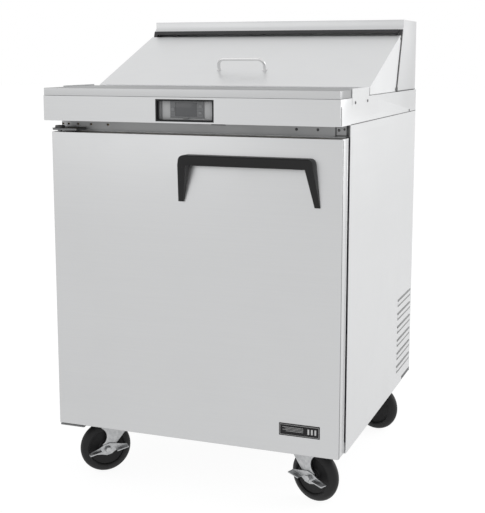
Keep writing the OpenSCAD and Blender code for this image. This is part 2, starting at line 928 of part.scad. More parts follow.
module shelf_clips() {
    x = in_x - liner_t;
    color(BRIGHT) for (m = [0, 1], y = clip_y) mirror([m, 0, 0]) {
        // slotted upright on the wall
        difference() {
            box([x - 3, y - 8, floor_z + 40], [x, y + 8, ceil_z - 60]);
            for (i = [0 : 11])
                box([x - 4, y - 3, floor_z + 60 + i * 40], [x - 1.5, y + 3, floor_z + 72 + i * 40]);
        }
        // clip under the shelf
        box([x - 16, y - 7, rod_z - cross_r - 4], [x - 3, y + 7, rod_z - cross_r]);
        box([x - 5, y - 7, rod_z - 16], [x - 3, y + 7, rod_z - cross_r - 4]);
    }
}

// ---------- control window ----------

module controller_frame() {
    w = ctl_w / 2;
    h = ctl_h / 2;
    color(BLACK) difference() {
        box([-w, front_y, ctl_z - h], [w, front_y + ctl_deep, ctl_z + h]);
        box([-w + ctl_rim, front_y - cut, ctl_z - h + ctl_rim],
            [w - ctl_rim, front_y + ctl_deep - 1.5, ctl_z + h - ctl_rim]);
    }
}

module_x = 3.5;
key_y = module_y - 1.2;
key_left = module_x - module_w / 2 + 6;
key_right = module_x + module_w / 2 - 8;

module key_hole(x, z) {
    k = key_clear;
    box([x - key_w / 2 - k, module_y - cut, z - key_h / 2 - k],
        [x + key_w / 2 + k, module_y + 6, z + key_h / 2 + k]);
}

module key(x, z) {
    color(DARK) box([x - key_w / 2, key_y, z - key_h / 2], [x + key_w / 2, module_y + 4, z + key_h / 2]);
}

module controller_body() {
    w = module_w / 2;
    h = module_h / 2;
    screen_w = 51;
    screen_h = 29.5;
    screen_x = module_x - w + 12;
    screen_z = module_z - h + 3.5;
    color(DARK) difference() {
        box([module_x - w, module_y, module_z - h],
            [module_x + w, front_y + ctl_deep - 1.5, module_z + h]);
        // screen window, sunk a little
        box([screen_x, module_y - cut, screen_z],
            [screen_x + screen_w, module_y + 1.5, screen_z + screen_h]);
        key_hole(key_left, module_z);
        key_hole(key_right, module_z + 7);
        key_hole(key_right, module_z - 7);
    }
}

module key_power() { key(key_left, module_z); }
module key_up() { key(key_right, module_z + 7); }
module key_down() { key(key_right, module_z - 7); }

// ---------- door ----------

module door_box(inset, y0, y1) {
    box([-door_hw + inset, y0, door_z0 + inset], [door_hw - inset, y1, door_z1 - inset]);
}

// Bores for the hinge pins, from both ends of the door
module hinge_bores(r) {
    deep = pin_in + 2;
    translate([pin_x, pin_y, door_z0 - cut]) cylinder(r = r, h = deep + cut);
    translate([pin_x, pin_y, door_z1 - deep]) cylinder(r = r, h = deep + cut);
}

module door_skin() {
    color(STEEL) difference() {
        door_box(0, door_y0, door_y1);
        difference() {
            door_box(sheet, door_y0 + sheet, door_y1 - sheet);
            // solid bosses that carry the hinge pins
            for (z = [door_z0, door_z1 - pin_in - 3])
                translate([pin_x, pin_y, z]) cylinder(r = hinge_pin_r + 4, h = pin_in + 3);
        }
        door_box(14, door_y1 - cut, door_y1 + cut);
        hinge_bores(hinge_pin_r + run);
    }
}

module door_liner() {
    x = door_hw - 14;
    dyke = 40;
    color(PLASTIC) difference() {
        union() {
            door_box(14, door_y1 - sheet, door_y1);
            // raised border that reaches into the mouth of the cabinet
            box([-in_x + 14, door_y1 - eps, mouth_low + 14],
                [in_x - 14, door_y1 + 9, mouth_high - 14]);
        }
        box([-in_x + dyke, door_y1 - 0.2, mouth_low + dyke],
            [in_x - dyke, door_y1 + 20, mouth_high - dyke]);
    }
}

module door_foam() {
    color(FOAM) difference() {
        door_box(sheet, door_y0 + sheet, door_y1 - sheet);
        for (z = [door_z0 - cut, door_z1 - pin_in - 3])
            translate([pin_x, pin_y, z]) cylinder(r = hinge_pin_r + 4, h = pin_in + 3 + cut);
    }
}

module door_gasket() {
    out = 12;
    w = 16;
    color(BLACK) difference() {
        door_box(out, door_y1, door_y1 + gasket_t);
        door_box(out + w, door_y1 - cut, door_y1 + gasket_t + cut);
        // groove along the face
        difference() {
            door_box(out + 5, door_y1 + gasket_t - 3, door_y1 + gasket_t + cut);
            door_box(out + 11, door_y1 - cut, door_y1 + gasket_t + cut);
        }
    }
}

handle_x1 = door_hw - handle_in;
handle_x0 = handle_x1 - handle_w;
handle_z1 = door_z1 - handle_drop;
handle_z0 = handle_z1 - handle_h;

// Round corner in X and Z from angle a0 to a1
function corner(x, z, r, a0, a1) =
    [for (k = [0 : 5]) let (a = a0 + k * (a1 - a0) / 5) [x + r * cos(a), z + r * sin(a)]];

module door_handle() {
    bar = 22;
    foot = 11;
    splay = 10;
    leg = 17;
    round_r = 12;
    thin = 5;
    top_t = 4;
    front_t = 8;
    y = door_y0;
    // outer and inner edges of the band
    x0 = handle_x0 + splay;
    x1 = handle_x1 - splay;
    // front view: a band with two splayed, tapering legs
    color(BLACK) intersection() {
        difference() {
            // side view: a wedge that grows to the top
            along_x(handle_x0, handle_x1) polygon([
                [y, handle_z0], [y, handle_z1], [y - handle_d + 3, handle_z1],
                [y - handle_d, handle_z1 - 3], [y - handle_d, handle_z1 - bar],
                [y - thin, handle_z0]
            ]);
            // finger space behind the band
            along_x(x0 + leg, x1 - leg) polygon([
                [y + cut, handle_z0 - cut], [y + cut, handle_z1 - top_t],
                [y - handle_d + front_t, handle_z1 - top_t],
                [y - handle_d + front_t, handle_z0 - cut]
            ]);
        }
        translate([0, y + cut, 0]) rotate([90, 0, 0]) linear_extrude(handle_d + 2 * cut) {
            difference() {
                polygon(concat(
                    [[handle_x0, handle_z0]],
                    corner(x0 + round_r, handle_z1 - round_r, round_r, 180, 90),
                    corner(x1 - round_r, handle_z1 - round_r, round_r, 90, 0),
                    [[handle_x1, handle_z0]]
                ));
                polygon([
                    [handle_x0 + foot, handle_z0 - cut], [x0 + leg, handle_z1 - bar],
                    [x1 - leg, handle_z1 - bar], [handle_x1 - foot, handle_z0 - cut]
                ]);
            }
        }
    }
}

module door_badge() {
    w = 94;
    h = 28;
    color(BLACK) translate([door_hw - 43 - w, door_y0 - 0.8, door_z0 + 42]) cube([w, 0.8, h]);
}

// ---------- casters ----------

plate_hx = 36;
plate_hy = 45;

module at_caster(side, row) {
    x = row == 0 ? front_caster_x : rear_caster_x;
    translate([side * x, row == 0 ? caster_y0 : caster_y1, 0]) children();
}

module caster_plate() {
    z = base_z - plate_t;
    difference() {
        union() {
            translate([0, 0, z]) linear_extrude(plate_t) round_rect(2 * plate_hy, 2 * plate_hx, 8);
            translate([0, 0, z - race_h]) cylinder(r = race_r, h = race_h + eps);
            // kingpin with its riveted end under the crown
            translate([0, 0, crown_z - 4]) cylinder(r = king_r, h = race_h + race_gap + crown_t + 5);
            translate([0, 0, crown_z - 5]) cylinder(r = king_r + 3, h = 4.7);
        }
        for (x = [-1, 1], y = [-1, 1])
            translate([x * (plate_hy - 9), y * (plate_hx - 9), z - cut])
                cylinder(r = 4.2, h = plate_t + 2 * cut);
    }
    // bolts through the base pan
    for (x = [-1, 1], y = [-1, 1])
        translate([x * (plate_hy - 9), y * (plate_hx - 9), z - 4])
            cylinder(r = 6.5, h = 4);
}

module caster_plates() {
    color(BRIGHT) for (side = [-1, 1], row = [0, 1]) at_caster(side, row) caster_plate();
}

// Side view of one fork leg, in the direction of the trail and Z
module leg_outline() {
    half = 39;
    top = crown_z + crown_t;
    low = wheel_r;
    difference() {
        polygon([
            [-half, top], [-half, top - 16], [trail - boss_r, low],
            [trail + boss_r, low], [half + 2, top - 16], [half + 2, top]
        ]);
        // hollowed edge on the side of the trail
        translate([half + 13, low + 31]) circle(r = 24);
    }
    translate([trail, low]) circle(r = boss_r);
}

module fork() {
    in = wheel_w / 2 + fork_gap;
    out = in + fork_t;
    difference() {
        union() {
            translate([0, 0, crown_z]) linear_extrude(crown_t) difference() {
                translate([1, 0]) square([80, 2 * out], center = true);
                circle(r = king_r + run);
            }
            for (s = [-1, 1])
                translate([0, s * (in + out) / 2, 0]) rotate([90, 0, 0])
                    translate([0, 0, -fork_t / 2]) linear_extrude(fork_t) leg_outline();
        }
        translate([0, 0, crown_z - cut]) cylinder(r = king_r + run, h = crown_t + 2 * cut);
    }
    // axle bolt with its head and nut
    translate([trail, 0, wheel_r]) rotate([90, 0, 0]) {
        translate([0, 0, -out - 9]) cylinder(r = axle_r, h = 2 * out + 18);
        for (z = [-out - 13, out + 9]) translate([0, 0, z]) cylinder(r = 8, h = 4, $fn = 6);
    }
}

module wheel() {
    hub = wheel_w / 2 + fork_gap - 0.5;
    tread = wheel_w / 2;
    color(BLACK) translate([trail, 0, wheel_r]) rotate([90, 0, 0]) {
        rotate_extrude($fn = 96) polygon([
            [axle_r + run, -hub], [16, -hub], [16, -tread + 4], [wheel_r - 16, -tread + 5],
            [wheel_r - 14, -tread], [wheel_r - 8, -tread], [wheel_r - 2, -tread + 7],
            [wheel_r, -tread + 13], [wheel_r, tread - 13], [wheel_r - 2, tread - 7],
            [wheel_r - 8, tread], [wheel_r - 14, tread], [wheel_r - 16, tread - 5],
            [16, tread - 4], [16, hub], [axle_r + run, hub]
        ]);
    }
}

// Rocking brake pedal on the outer end of the axle
module brake(side) {
    in = wheel_w / 2 + fork_gap + fork_t + 0.5;
    out = in + 6;
    wing = 48;
    t = 2.5;
    tilt = 14;
    color(BRIGHT) translate([trail, 0, wheel_r]) rotate([0, tilt, 0]) on_side(side)
        difference() {
            union() {
                translate([0, in, 0]) rotate([-90, 0, 0]) cylinder(r = 13, h = 3);
                // web along the fork
                translate([0, in + 3, 0]) rotate([90, 0, 0]) linear_extrude(3) polygon([
                    [-wing, -4], [-20, 8], [-8, 13], [8, 13], [20, 9],
                    [wing, 5], [wing, 2], [18, -8], [6, -14], [-6, -14], [-18, -9], [-wing, -6]
                ]);
                // treads turned out from the web
                box([-wing, in, -5 - t], [-18, in + 19, -5]);
                box([18, in, 3], [wing, in + 19, 3 + t]);
            }
            translate([0, in - cut, 0]) rotate([-90, 0, 0])
                cylinder(r = axle_r + run, h = 30);
        }
}

// The part as drawn for side 1, mirrored across the wheel for side -1
module on_side(side) {
    if (side > 0) children();
    else mirror([0, 1, 0]) children();
}

module front_left_fork() { color(BRIGHT) at_caster(-1, 0) rotate(swivel_fl) fork(); }
module front_right_fork() { color(BRIGHT) at_caster(1, 0) rotate(swivel_fr) fork(); }
module rear_left_fork() { color(BRIGHT) at_caster(-1, 1) rotate(swivel_rl) fork(); }
module rear_right_fork() { color(BRIGHT) at_caster(1, 1) rotate(swivel_rr) fork(); }
module front_left_wheel() { at_caster(-1, 0) rotate(swivel_fl) wheel(); }
module front_right_wheel() { at_caster(1, 0) rotate(swivel_fr) wheel(); }
module rear_left_wheel() { at_caster(-1, 1) rotate(swivel_rl) wheel(); }
module rear_right_wheel() { at_caster(1, 1) rotate(swivel_rr) wheel(); }
module front_left_brake() { at_caster(-1, 0) rotate(swivel_fl) brake(1); }
module front_right_brake() { at_caster(1, 0) rotate(swivel_fr) brake(-1); }

left_side_panel();
right_side_panel();
back_panel();
rear_grille();
base_pan();
front_frame();
inner_liner();
cabinet_foam();
counter_top();
front_strip();
cabinet_screws();
hinge_brackets();
pan_well();
divider_bars();
food_pans();
board_brackets();
hood_shell();
hood_insulation();
hood_gasket();
lid_hinge();
evaporator_coil();
evaporator_cover();
evaporator_motor();
compressor();
condenser_coil();
condenser_motor();
drain_tray();
cord_inlet();
shelf();
shelf_clips();
controller_frame();
controller_body();
caster_plates();
door_skin();
door_liner();
door_foam();
door_gasket();
door_handle();
door_badge();
lid_skin();
lid_foam();
lid_liner();
lid_tube();
lid_handle();
cutting_board();
evaporator_fan();
condenser_fan();
key_power();
key_up();
key_down();
front_left_fork();
front_right_fork();
rear_left_fork();
rear_right_fork();
front_left_wheel();
front_right_wheel();
rear_left_wheel();
rear_right_wheel();
front_left_brake();
front_right_brake();
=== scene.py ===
import json
import math

import bmesh
import bpy
from mathutils import Matrix, Vector


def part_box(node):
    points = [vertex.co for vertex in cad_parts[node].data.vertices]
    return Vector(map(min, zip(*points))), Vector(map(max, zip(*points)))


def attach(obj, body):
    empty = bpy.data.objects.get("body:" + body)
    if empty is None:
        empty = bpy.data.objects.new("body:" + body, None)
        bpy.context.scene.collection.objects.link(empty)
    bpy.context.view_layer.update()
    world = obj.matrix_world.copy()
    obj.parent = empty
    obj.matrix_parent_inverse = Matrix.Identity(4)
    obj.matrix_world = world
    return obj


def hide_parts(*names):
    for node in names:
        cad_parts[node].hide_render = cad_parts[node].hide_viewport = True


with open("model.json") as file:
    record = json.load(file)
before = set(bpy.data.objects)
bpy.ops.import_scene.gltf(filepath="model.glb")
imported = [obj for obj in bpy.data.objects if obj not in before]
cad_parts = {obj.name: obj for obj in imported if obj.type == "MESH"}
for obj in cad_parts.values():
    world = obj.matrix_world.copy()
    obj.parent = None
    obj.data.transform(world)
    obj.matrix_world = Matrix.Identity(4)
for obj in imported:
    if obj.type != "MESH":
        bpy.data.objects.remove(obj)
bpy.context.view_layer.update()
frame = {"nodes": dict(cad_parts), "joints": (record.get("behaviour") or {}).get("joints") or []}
NODES = frame["nodes"]
JOINTS = {j["name"]: j for j in frame["joints"]}

# ---------------------------------------------------------------- node helpers


def add(tree, kind, at=(0, 0), **values):
    """A shader node with its properties and plain input values set."""
    node = tree.nodes.new(kind)
    node.location = at
    for key, value in values.items():
        if hasattr(node, key):
            setattr(node, key, value)
        else:
            node.inputs[key.replace("_", " ")].default_value = value
    return node


def math_node(tree, operation, a, b=None, clamp=False):
    """One arithmetic step on plain numbers or sockets."""
    node = tree.nodes.new("ShaderNodeMath")
    node.operation = operation
    node.use_clamp = clamp
    for socket, value in zip(node.inputs, (a, b)):
        if value is None:
            continue
        if isinstance(value, (int, float)):
            socket.default_value = value
        else:
            tree.links.new(value, socket)
    return node.outputs[0]


def mix_colour(tree, amount, a, b):
    """Mixes two colours by a mask."""
    node = tree.nodes.new("ShaderNodeMix")
    node.data_type = "RGBA"
    for socket, value in ((node.inputs[0], amount), (node.inputs[6], a), (node.inputs[7], b)):
        if isinstance(value, (int, float, tuple)):
            socket.default_value = value
        else:
            tree.links.new(value, socket)
    return node.outputs[2]


def spread(tree, value, low, high):
    """Maps 0..1 to low..high."""
    node = tree.nodes.new("ShaderNodeMapRange")
    tree.links.new(value, node.inputs["Value"])
    node.inputs["To Min"].default_value = low
    node.inputs["To Max"].default_value = high
    return node.outputs[0]


def noise(tree, vector, scale, detail=3.0, rough=0.55):
    """Soft noise at a place, from 0 to 1."""
    node = tree.nodes.new("ShaderNodeTexNoise")
    node.inputs["Scale"].default_value = scale
    node.inputs["Detail"].default_value = detail
    node.inputs["Roughness"].default_value = rough
    tree.links.new(vector, node.inputs["Vector"])
    return node.outputs["Fac"]


def effect_group(name, inputs, outputs):
    """An empty shader group with named sockets."""
    tree = bpy.data.node_groups.new(name, "ShaderNodeTree")
    for label, kind, value in inputs:
        socket = tree.interface.new_socket(label, in_out="INPUT", socket_type=kind)
        if value is not None:
            socket.default_value = value
    for label in outputs:
        tree.interface.new_socket(label, in_out="OUTPUT", socket_type="NodeSocketFloat")
    return tree, tree.nodes.new("NodeGroupInput"), tree.nodes.new("NodeGroupOutput")


def build_brushed_lines():
    """Fine lines drawn out along one direction, and the broad clouds of a rolled sheet."""
    tree, given, out = effect_group(
        "Brushed lines",
        [("Place", "NodeSocketVector", None), ("Pull", "NodeSocketVector", (1, 1, 1))],
        ["Lines", "Clouds"],
    )
    pulled = add(tree, "ShaderNodeVectorMath", operation="MULTIPLY")
    tree.links.new(given.outputs["Place"], pulled.inputs[0])
    tree.links.new(given.outputs["Pull"], pulled.inputs[1])
    fine = noise(tree, pulled.outputs[0], 1.0, 4.0, 0.62)
    coarse = noise(tree, pulled.outputs[0], 0.31, 2.0, 0.5)
    both = math_node(tree, "ADD", math_node(tree, "MULTIPLY", fine, 0.65),
                     math_node(tree, "MULTIPLY", coarse, 0.35))
    tree.links.new(both, out.inputs["Lines"])
    clouds = noise(tree, given.outputs["Place"], 2.3, 3.0, 0.5)
    tree.links.new(clouds, out.inputs["Clouds"])
    return tree


def build_handling():
    """Soft smears where hands and cloths have passed, and small specks of dust."""
    tree, given, out = effect_group(
        "Handling marks", [("Place", "NodeSocketVector", None)], ["Smears", "Specks"])
    warp = noise(tree, given.outputs["Place"], 6.0, 4.0, 0.6)
    ramp = add(tree, "ShaderNodeMapRange")
    ramp.inputs["From Min"].default_value = 0.48
    ramp.inputs["From Max"].default_value = 0.72
    tree.links.new(warp, ramp.inputs["Value"])
    tree.links.new(ramp.outputs[0], out.inputs["Smears"])
    cells = add(tree, "ShaderNodeTexVoronoi", Scale=90.0)
    tree.links.new(given.outputs["Place"], cells.inputs["Vector"])
    speck = math_node(tree, "LESS_THAN", cells.outputs["Distance"], 0.06)
    rare = math_node(tree, "GREATER_THAN", noise(tree, given.outputs["Place"], 31.0, 1.0), 0.58)
    tree.links.new(math_node(tree, "MULTIPLY", speck, rare), out.inputs["Specks"])
    return tree


def build_moulded_grain():
    """The pebbled surface of moulded plastic and rubber."""
    tree, given, out = effect_group(
        "Moulded grain",
        [("Place", "NodeSocketVector", None), ("Grain size", "NodeSocketFloat", 0.001)],
        ["Pebbles", "Flow"],
    )
    scale = math_node(tree, "DIVIDE", 1.0, given.outputs["Grain size"])
    cells = add(tree, "ShaderNodeTexVoronoi", feature="SMOOTH_F1")
    tree.links.new(given.outputs["Place"], cells.inputs["Vector"])
    tree.links.new(scale, cells.inputs["Scale"])
    tree.links.new(cells.outputs["Distance"], out.inputs["Pebbles"])
    tree.links.new(noise(tree, given.outputs["Place"], 9.0, 3.0, 0.5), out.inputs["Flow"])
    return tree


def build_spangle():
    """Crystal patches of a zinc coat."""
    tree, given, out = effect_group(
        "Zinc spangle", [("Place", "NodeSocketVector", None)], ["Patches", "Frost"])
    cells = add(tree, "ShaderNodeTexVoronoi", Scale=190.0)
    tree.links.new(given.outputs["Place"], cells.inputs["Vector"])
    split = add(tree, "ShaderNodeSeparateColor")
    tree.links.new(cells.outputs["Color"], split.inputs[0])
    tree.links.new(split.outputs[0], out.inputs["Patches"])
    tree.links.new(noise(tree, given.outputs["Place"], 420.0, 3.0, 0.6), out.inputs["Frost"])
    return tree


BRUSHED = build_brushed_lines()
HANDLING = build_handling()
MOULDED = build_moulded_grain()
SPANGLE = build_spangle()


def start_material(name):
    """A material with its shader and output, and the place on the piece."""
    mat = bpy.data.materials.new(name)
    mat.use_nodes = True
    tree = mat.node_tree
    tree.nodes.clear()
    place = add(tree, "ShaderNodeTexCoord", (-1200, 0)).outputs["Object"]
    shader = add(tree, "ShaderNodeBsdfPrincipled", (0, 0))
    end = add(tree, "ShaderNodeOutputMaterial", (300, 0))
    tree.links.new(shader.outputs[0], end.inputs["Surface"])
    return mat, tree, place, shader


def use_group(tree, group, place, **values):
    node = tree.nodes.new("ShaderNodeGroup")
    node.node_tree = group
    tree.links.new(place, node.inputs["Place"])
    for key, value in values.items():
        node.inputs[key.replace("_", " ")].default_value = value
    return node


def raise_surface(tree, shader, height, distance, strength=1.0):
    bump = add(tree, "ShaderNodeBump", (-250, -300))
    bump.inputs["Distance"].default_value = distance
    bump.inputs["Strength"].default_value = strength
    tree.links.new(height, bump.inputs["Height"])
    tree.links.new(bump.outputs["Normal"], shader.inputs["Normal"])


def grey(value, blue=0.0):
    return (value * (1 - blue), value, min(1.0, value * (1 + blue)), 1.0)


def brushed_sheet(name, tone, pull, rough=0.33, contrast=0.05, metal=1.0, cool=0.008, edge=1.0):
    """Brushed sheet steel; pull is how tight the lines are along X, Y and Z."""
    mat, tree, place, shader = start_material(name)
    lines = use_group(tree, BRUSHED, place, Pull=pull)
    marks = use_group(tree, HANDLING, place)
    base = mix_colour(tree, lines.outputs["Lines"],
                      grey(tone * (1 - contrast), cool), grey(tone * (1 + contrast), cool))
    cloudy = mix_colour(tree, spread(tree, lines.outputs["Clouds"], 0.0, 0.12), base,
                        grey(tone * 0.82, cool * 1.5))
    tree.links.new(cloudy, shader.inputs["Base Color"])
    streak = spread(tree, lines.outputs["Lines"], rough - 0.07, rough + 0.07)
    smear = math_node(tree, "MULTIPLY", marks.outputs["Smears"], 0.06)
    tree.links.new(math_node(tree, "ADD", streak, smear, True), shader.inputs["Roughness"])
    shader.inputs["Metallic"].default_value = metal
    shader.inputs["Specular Tint"].default_value = grey(edge)
    raise_surface(tree, shader, lines.outputs["Lines"], 0.00004, 0.5)
    return mat


def zinc_plate(name, tone):
    mat, tree, place, shader = start_material(name)
    spots = use_group(tree, SPANGLE, place)
    marks = use_group(tree, HANDLING, place)
    base = mix_colour(tree, spots.outputs["Patches"],
                      grey(tone * 0.88, 0.02), grey(tone * 1.1, 0.01))
    dusty = mix_colour(tree, math_node(tree, "MULTIPLY", marks.outputs["Smears"], 0.35), base,
                       grey(tone * 0.7, 0.0))
    tree.links.new(dusty, shader.inputs["Base Color"])
    tree.links.new(spread(tree, spots.outputs["Frost"], 0.26, 0.46), shader.inputs["Roughness"])
    shader.inputs["Metallic"].default_value = 0.92
    raise_surface(tree, shader, spots.outputs["Frost"], 0.00008, 0.4)
    return mat


def moulded(name, colour, grain, rough=0.45, depth=0.00005, dull=0.5, dust=0.25):
    """Moulded plastic or rubber with a pebbled skin and a little dust."""
    mat, tree, place, shader = start_material(name)
    skin = use_group(tree, MOULDED, place, Grain_size=grain)
    marks = use_group(tree, HANDLING, place)
    lighter = tuple(min(1.0, c * 1.25 + 0.004) for c in colour[:3]) + (1.0,)
    base = mix_colour(tree, skin.outputs["Flow"], colour, lighter)
    dusted = mix_colour(tree, math_node(tree, "MULTIPLY", marks.outputs["Specks"], dust), base,
                        (0.32, 0.31, 0.3, 1.0))
    tree.links.new(dusted, shader.inputs["Base Color"])
    smooth = spread(tree, marks.outputs["Smears"], rough, max(0.05, rough - 0.1))
    tree.links.new(smooth, shader.inputs["Roughness"])
    shader.inputs["Specular IOR Level"].default_value = dull
    raise_surface(tree, shader, skin.outputs["Pebbles"], depth, 0.8)
    return mat


def bright_wire(name):
    mat, tree, place, shader = start_material(name)
    lines = use_group(tree, BRUSHED, place, Pull=(500.0, 500.0, 500.0))
    marks = use_group(tree, HANDLING, place)
    tree.links.new(mix_colour(tree, lines.outputs["Lines"], grey(0.66), grey(0.74)),
                   shader.inputs["Base Color"])
    tree.links.new(spread(tree, marks.outputs["Smears"], 0.12, 0.24), shader.inputs["Roughness"])
    shader.inputs["Metallic"].default_value = 1.0
    raise_surface(tree, shader, lines.outputs["Lines"], 0.00002, 0.3)
    return mat


def coated_wire(name):
    mat, tree, place, shader = start_material(name)
    skin = use_group(tree, MOULDED, place, Grain_size=0.004)
    tree.links.new(mix_colour(tree, skin.outputs["Flow"], grey(0.68), grey(0.78)),
                   shader.inputs["Base Color"])
    tree.links.new(spread(tree, skin.outputs["Flow"], 0.26, 0.4), shader.inputs["Roughness"])
    shader.inputs["Coat Weight"].default_value = 0.3
    raise_surface(tree, shader, skin.outputs["Pebbles"], 0.0001, 0.3)
    return mat


def foamed(name):
    mat, tree, place, shader = start_material(name)
    skin = use_group(tree, MOULDED, place, Grain_size=0.0022)
    tree.links.new(mix_colour(tree, skin.outputs["Pebbles"],
                              (0.5, 0.38, 0.15, 1), (0.8, 0.68, 0.36, 1)),
                   shader.inputs["Base Color"])
    tree.links.new(spread(tree, skin.outputs["Flow"], 0.8, 0.95), shader.inputs["Roughness"])
    raise_surface(tree, shader, skin.outputs["Pebbles"], 0.0006, 0.8)
    return mat


def finned(name, across):
    """A coil block: aluminium fin edges over darker gaps, the dark gaps being painted shade between
    the fins.
    """
    mat, tree, place, shader = start_material(name)
    wave = add(tree, "ShaderNodeTexWave", wave_type="BANDS", bands_direction=across)
    wave.inputs["Scale"].default_value = 160.0
    wave.inputs["Distortion"].default_value = 0.4
    tree.links.new(place, wave.inputs["Vector"])
    tree.links.new(mix_colour(tree, wave.outputs["Fac"], grey(0.3), grey(0.68, 0.01)),
                   shader.inputs["Base Color"])
    tree.links.new(spread(tree, wave.outputs["Fac"], 0.5, 0.28), shader.inputs["Roughness"])
    shader.inputs["Metallic"].default_value = 0.9
    raise_surface(tree, shader, wave.outputs["Fac"], 0.0002, 0.5)
    return mat


def smoked_screen(name):
    mat, tree, place, shader = start_material(name)
    marks = use_group(tree, HANDLING, place)
    tree.links.new(mix_colour(tree, marks.outputs["Smears"],
                              (0.085, 0.088, 0.094, 1), (0.11, 0.112, 0.118, 1)),
                   shader.inputs["Base Color"])
    tree.links.new(spread(tree, marks.outputs["Smears"], 0.14, 0.3), shader.inputs["Roughness"])
    shader.inputs["Coat Weight"].default_value = 0.4
    return mat


STEEL_LONG = brushed_sheet("steel_brushed_across", 0.62, (9.0, 900.0, 900.0))
STEEL_DOOR = brushed_sheet("steel_door", 0.605, (9.0, 900.0, 900.0), 0.34)
STEEL_BAND = brushed_sheet("steel_band", 0.62, (9.0, 900.0, 900.0), 0.34)
STEEL_HOOD = brushed_sheet("steel_hood", 0.6, (9.0, 900.0, 900.0), 0.36, edge=0.95)
STEEL_SIDE = brushed_sheet("steel_brushed_front_to_back", 0.64, (900.0, 9.0, 900.0))
# The board's steel is darker than the same steel elsewhere: painted shade on the board's faces.
STEEL_BOARD_SHADED = brushed_sheet("steel_board_painted_shade", 0.56, (7.0, 700.0, 700.0), 0.42, edge=0.45)
# The lid's steel is lighter than the same steel elsewhere: painted light on the lid's upward slope.
STEEL_LID_LIT = brushed_sheet("steel_lid_painted_light", 0.71, (9.0, 900.0, 900.0), 0.34, edge=0.95)
# The front strip's steel is darker than the rest: painted shade for the shadow under the worktop's
# apron.
STEEL_STRIP_SHADED = brushed_sheet("steel_strip_painted_shade", 0.34, (9.0, 900.0, 900.0), 0.4, 0.08)
STEEL_PAN = brushed_sheet("steel_pressed_pan", 0.64, (260.0, 260.0, 14.0), 0.22, 0.03)
STEEL_DARK = brushed_sheet("steel_dark", 0.12, (300.0, 300.0, 300.0), 0.35, 0.1, 0.9)
SCREW_METAL = brushed_sheet("screw_metal", 0.11, (900.0, 900.0, 900.0), 0.3, 0.1, 0.9)
# Steel toned down to 0.10: painted shade, for the steel pieces that sit in the shadow of the lid
# and the worktop.
STEEL_PAINTED_SHADE = brushed_sheet("steel_darkened_for_shade", 0.10, (9.0, 700.0, 700.0), 0.45, 0.1, 0.6)
ZINC = zinc_plate("zinc_plate", 0.5)
# Zinc toned down to 0.17: painted shade for the hinge brackets, which sit in the shadow under the
# worktop.
ZINC_SHADED = zinc_plate("zinc_painted_shade", 0.17)
CHROME = bright_wire("bright_wire")
BLACK_GRIP = moulded("black_grip", (0.011, 0.011, 0.0115, 1), 0.0007, 0.5, 0.00004, dull=0.25)
BLACK_TRIM = moulded("black_trim", (0.009, 0.009, 0.01, 1), 0.0005, 0.42, 0.00003, dull=0.25)
GREY_CASE = moulded("grey_case", (0.16, 0.163, 0.168, 1), 0.0006, 0.42, 0.00003)
RECESS = moulded("recess_panel", (0.46, 0.465, 0.47, 1), 0.0008, 0.45, 0.00003)
# Dark grey for the recess ribs, where it is painted shade, and for the label line on the module.
RECESS_DARK = moulded("recess_rib", (0.21, 0.213, 0.218, 1), 0.0008, 0.45, 0.00003)
KEY_CAP = moulded("key_cap", (0.21, 0.215, 0.22, 1), 0.0004, 0.38, 0.00002)
BADGE_PALE = moulded("badge_ink", (0.62, 0.62, 0.62, 1), 0.0004, 0.5, 0.00001)
# Painted shadow: a dark grey that stands for the shadow in narrow gaps and seams.
SEAM_PAINTED_SHADOW = moulded("seam_shadow", (0.12, 0.121, 0.123, 1), 0.0008, 0.6, 0.00002, dull=0.2)
# Painted shade: grey steel for the shade at the louvres' folds and mouths.
LOUVRE_PAINTED_SHADE = brushed_sheet("louvre_shade", 0.24, (900.0, 9.0, 900.0), 0.45)
FOIL = brushed_sheet("foil_facing", 0.66, (60.0, 60.0, 60.0), 0.42, 0.04)
# Painted shade: a dark grey that stands for the shading of bends at the band's corners and the
# door's edge.
FOLD_PAINTED_SHADE = moulded("fold_shadow", (0.2, 0.202, 0.206, 1), 0.0008, 0.6, 0.00002, dull=0.2)
RUBBER = moulded("tread_rubber", (0.0095, 0.0095, 0.01, 1), 0.0009, 0.55, 0.00006,
                 dust=0.3, dull=0.3)
GASKET = moulded("gasket_vinyl", (0.03, 0.03, 0.032, 1), 0.0006, 0.5, 0.00003)
LINER = moulded("white_liner", (0.7, 0.71, 0.71, 1), 0.0012, 0.35, 0.00004, dust=0.05)
PAINT_BLACK = moulded("black_enamel", (0.015, 0.015, 0.016, 1), 0.0015, 0.25, 0.00004)
WHITE_WIRE = coated_wire("white_coated_wire")
FOAM = foamed("blown_foam")
FINS_X = finned("fins_across", "X")
FINS_Y = finned("fins_front_to_back", "Y")
SCREEN = smoked_screen("smoked_screen")

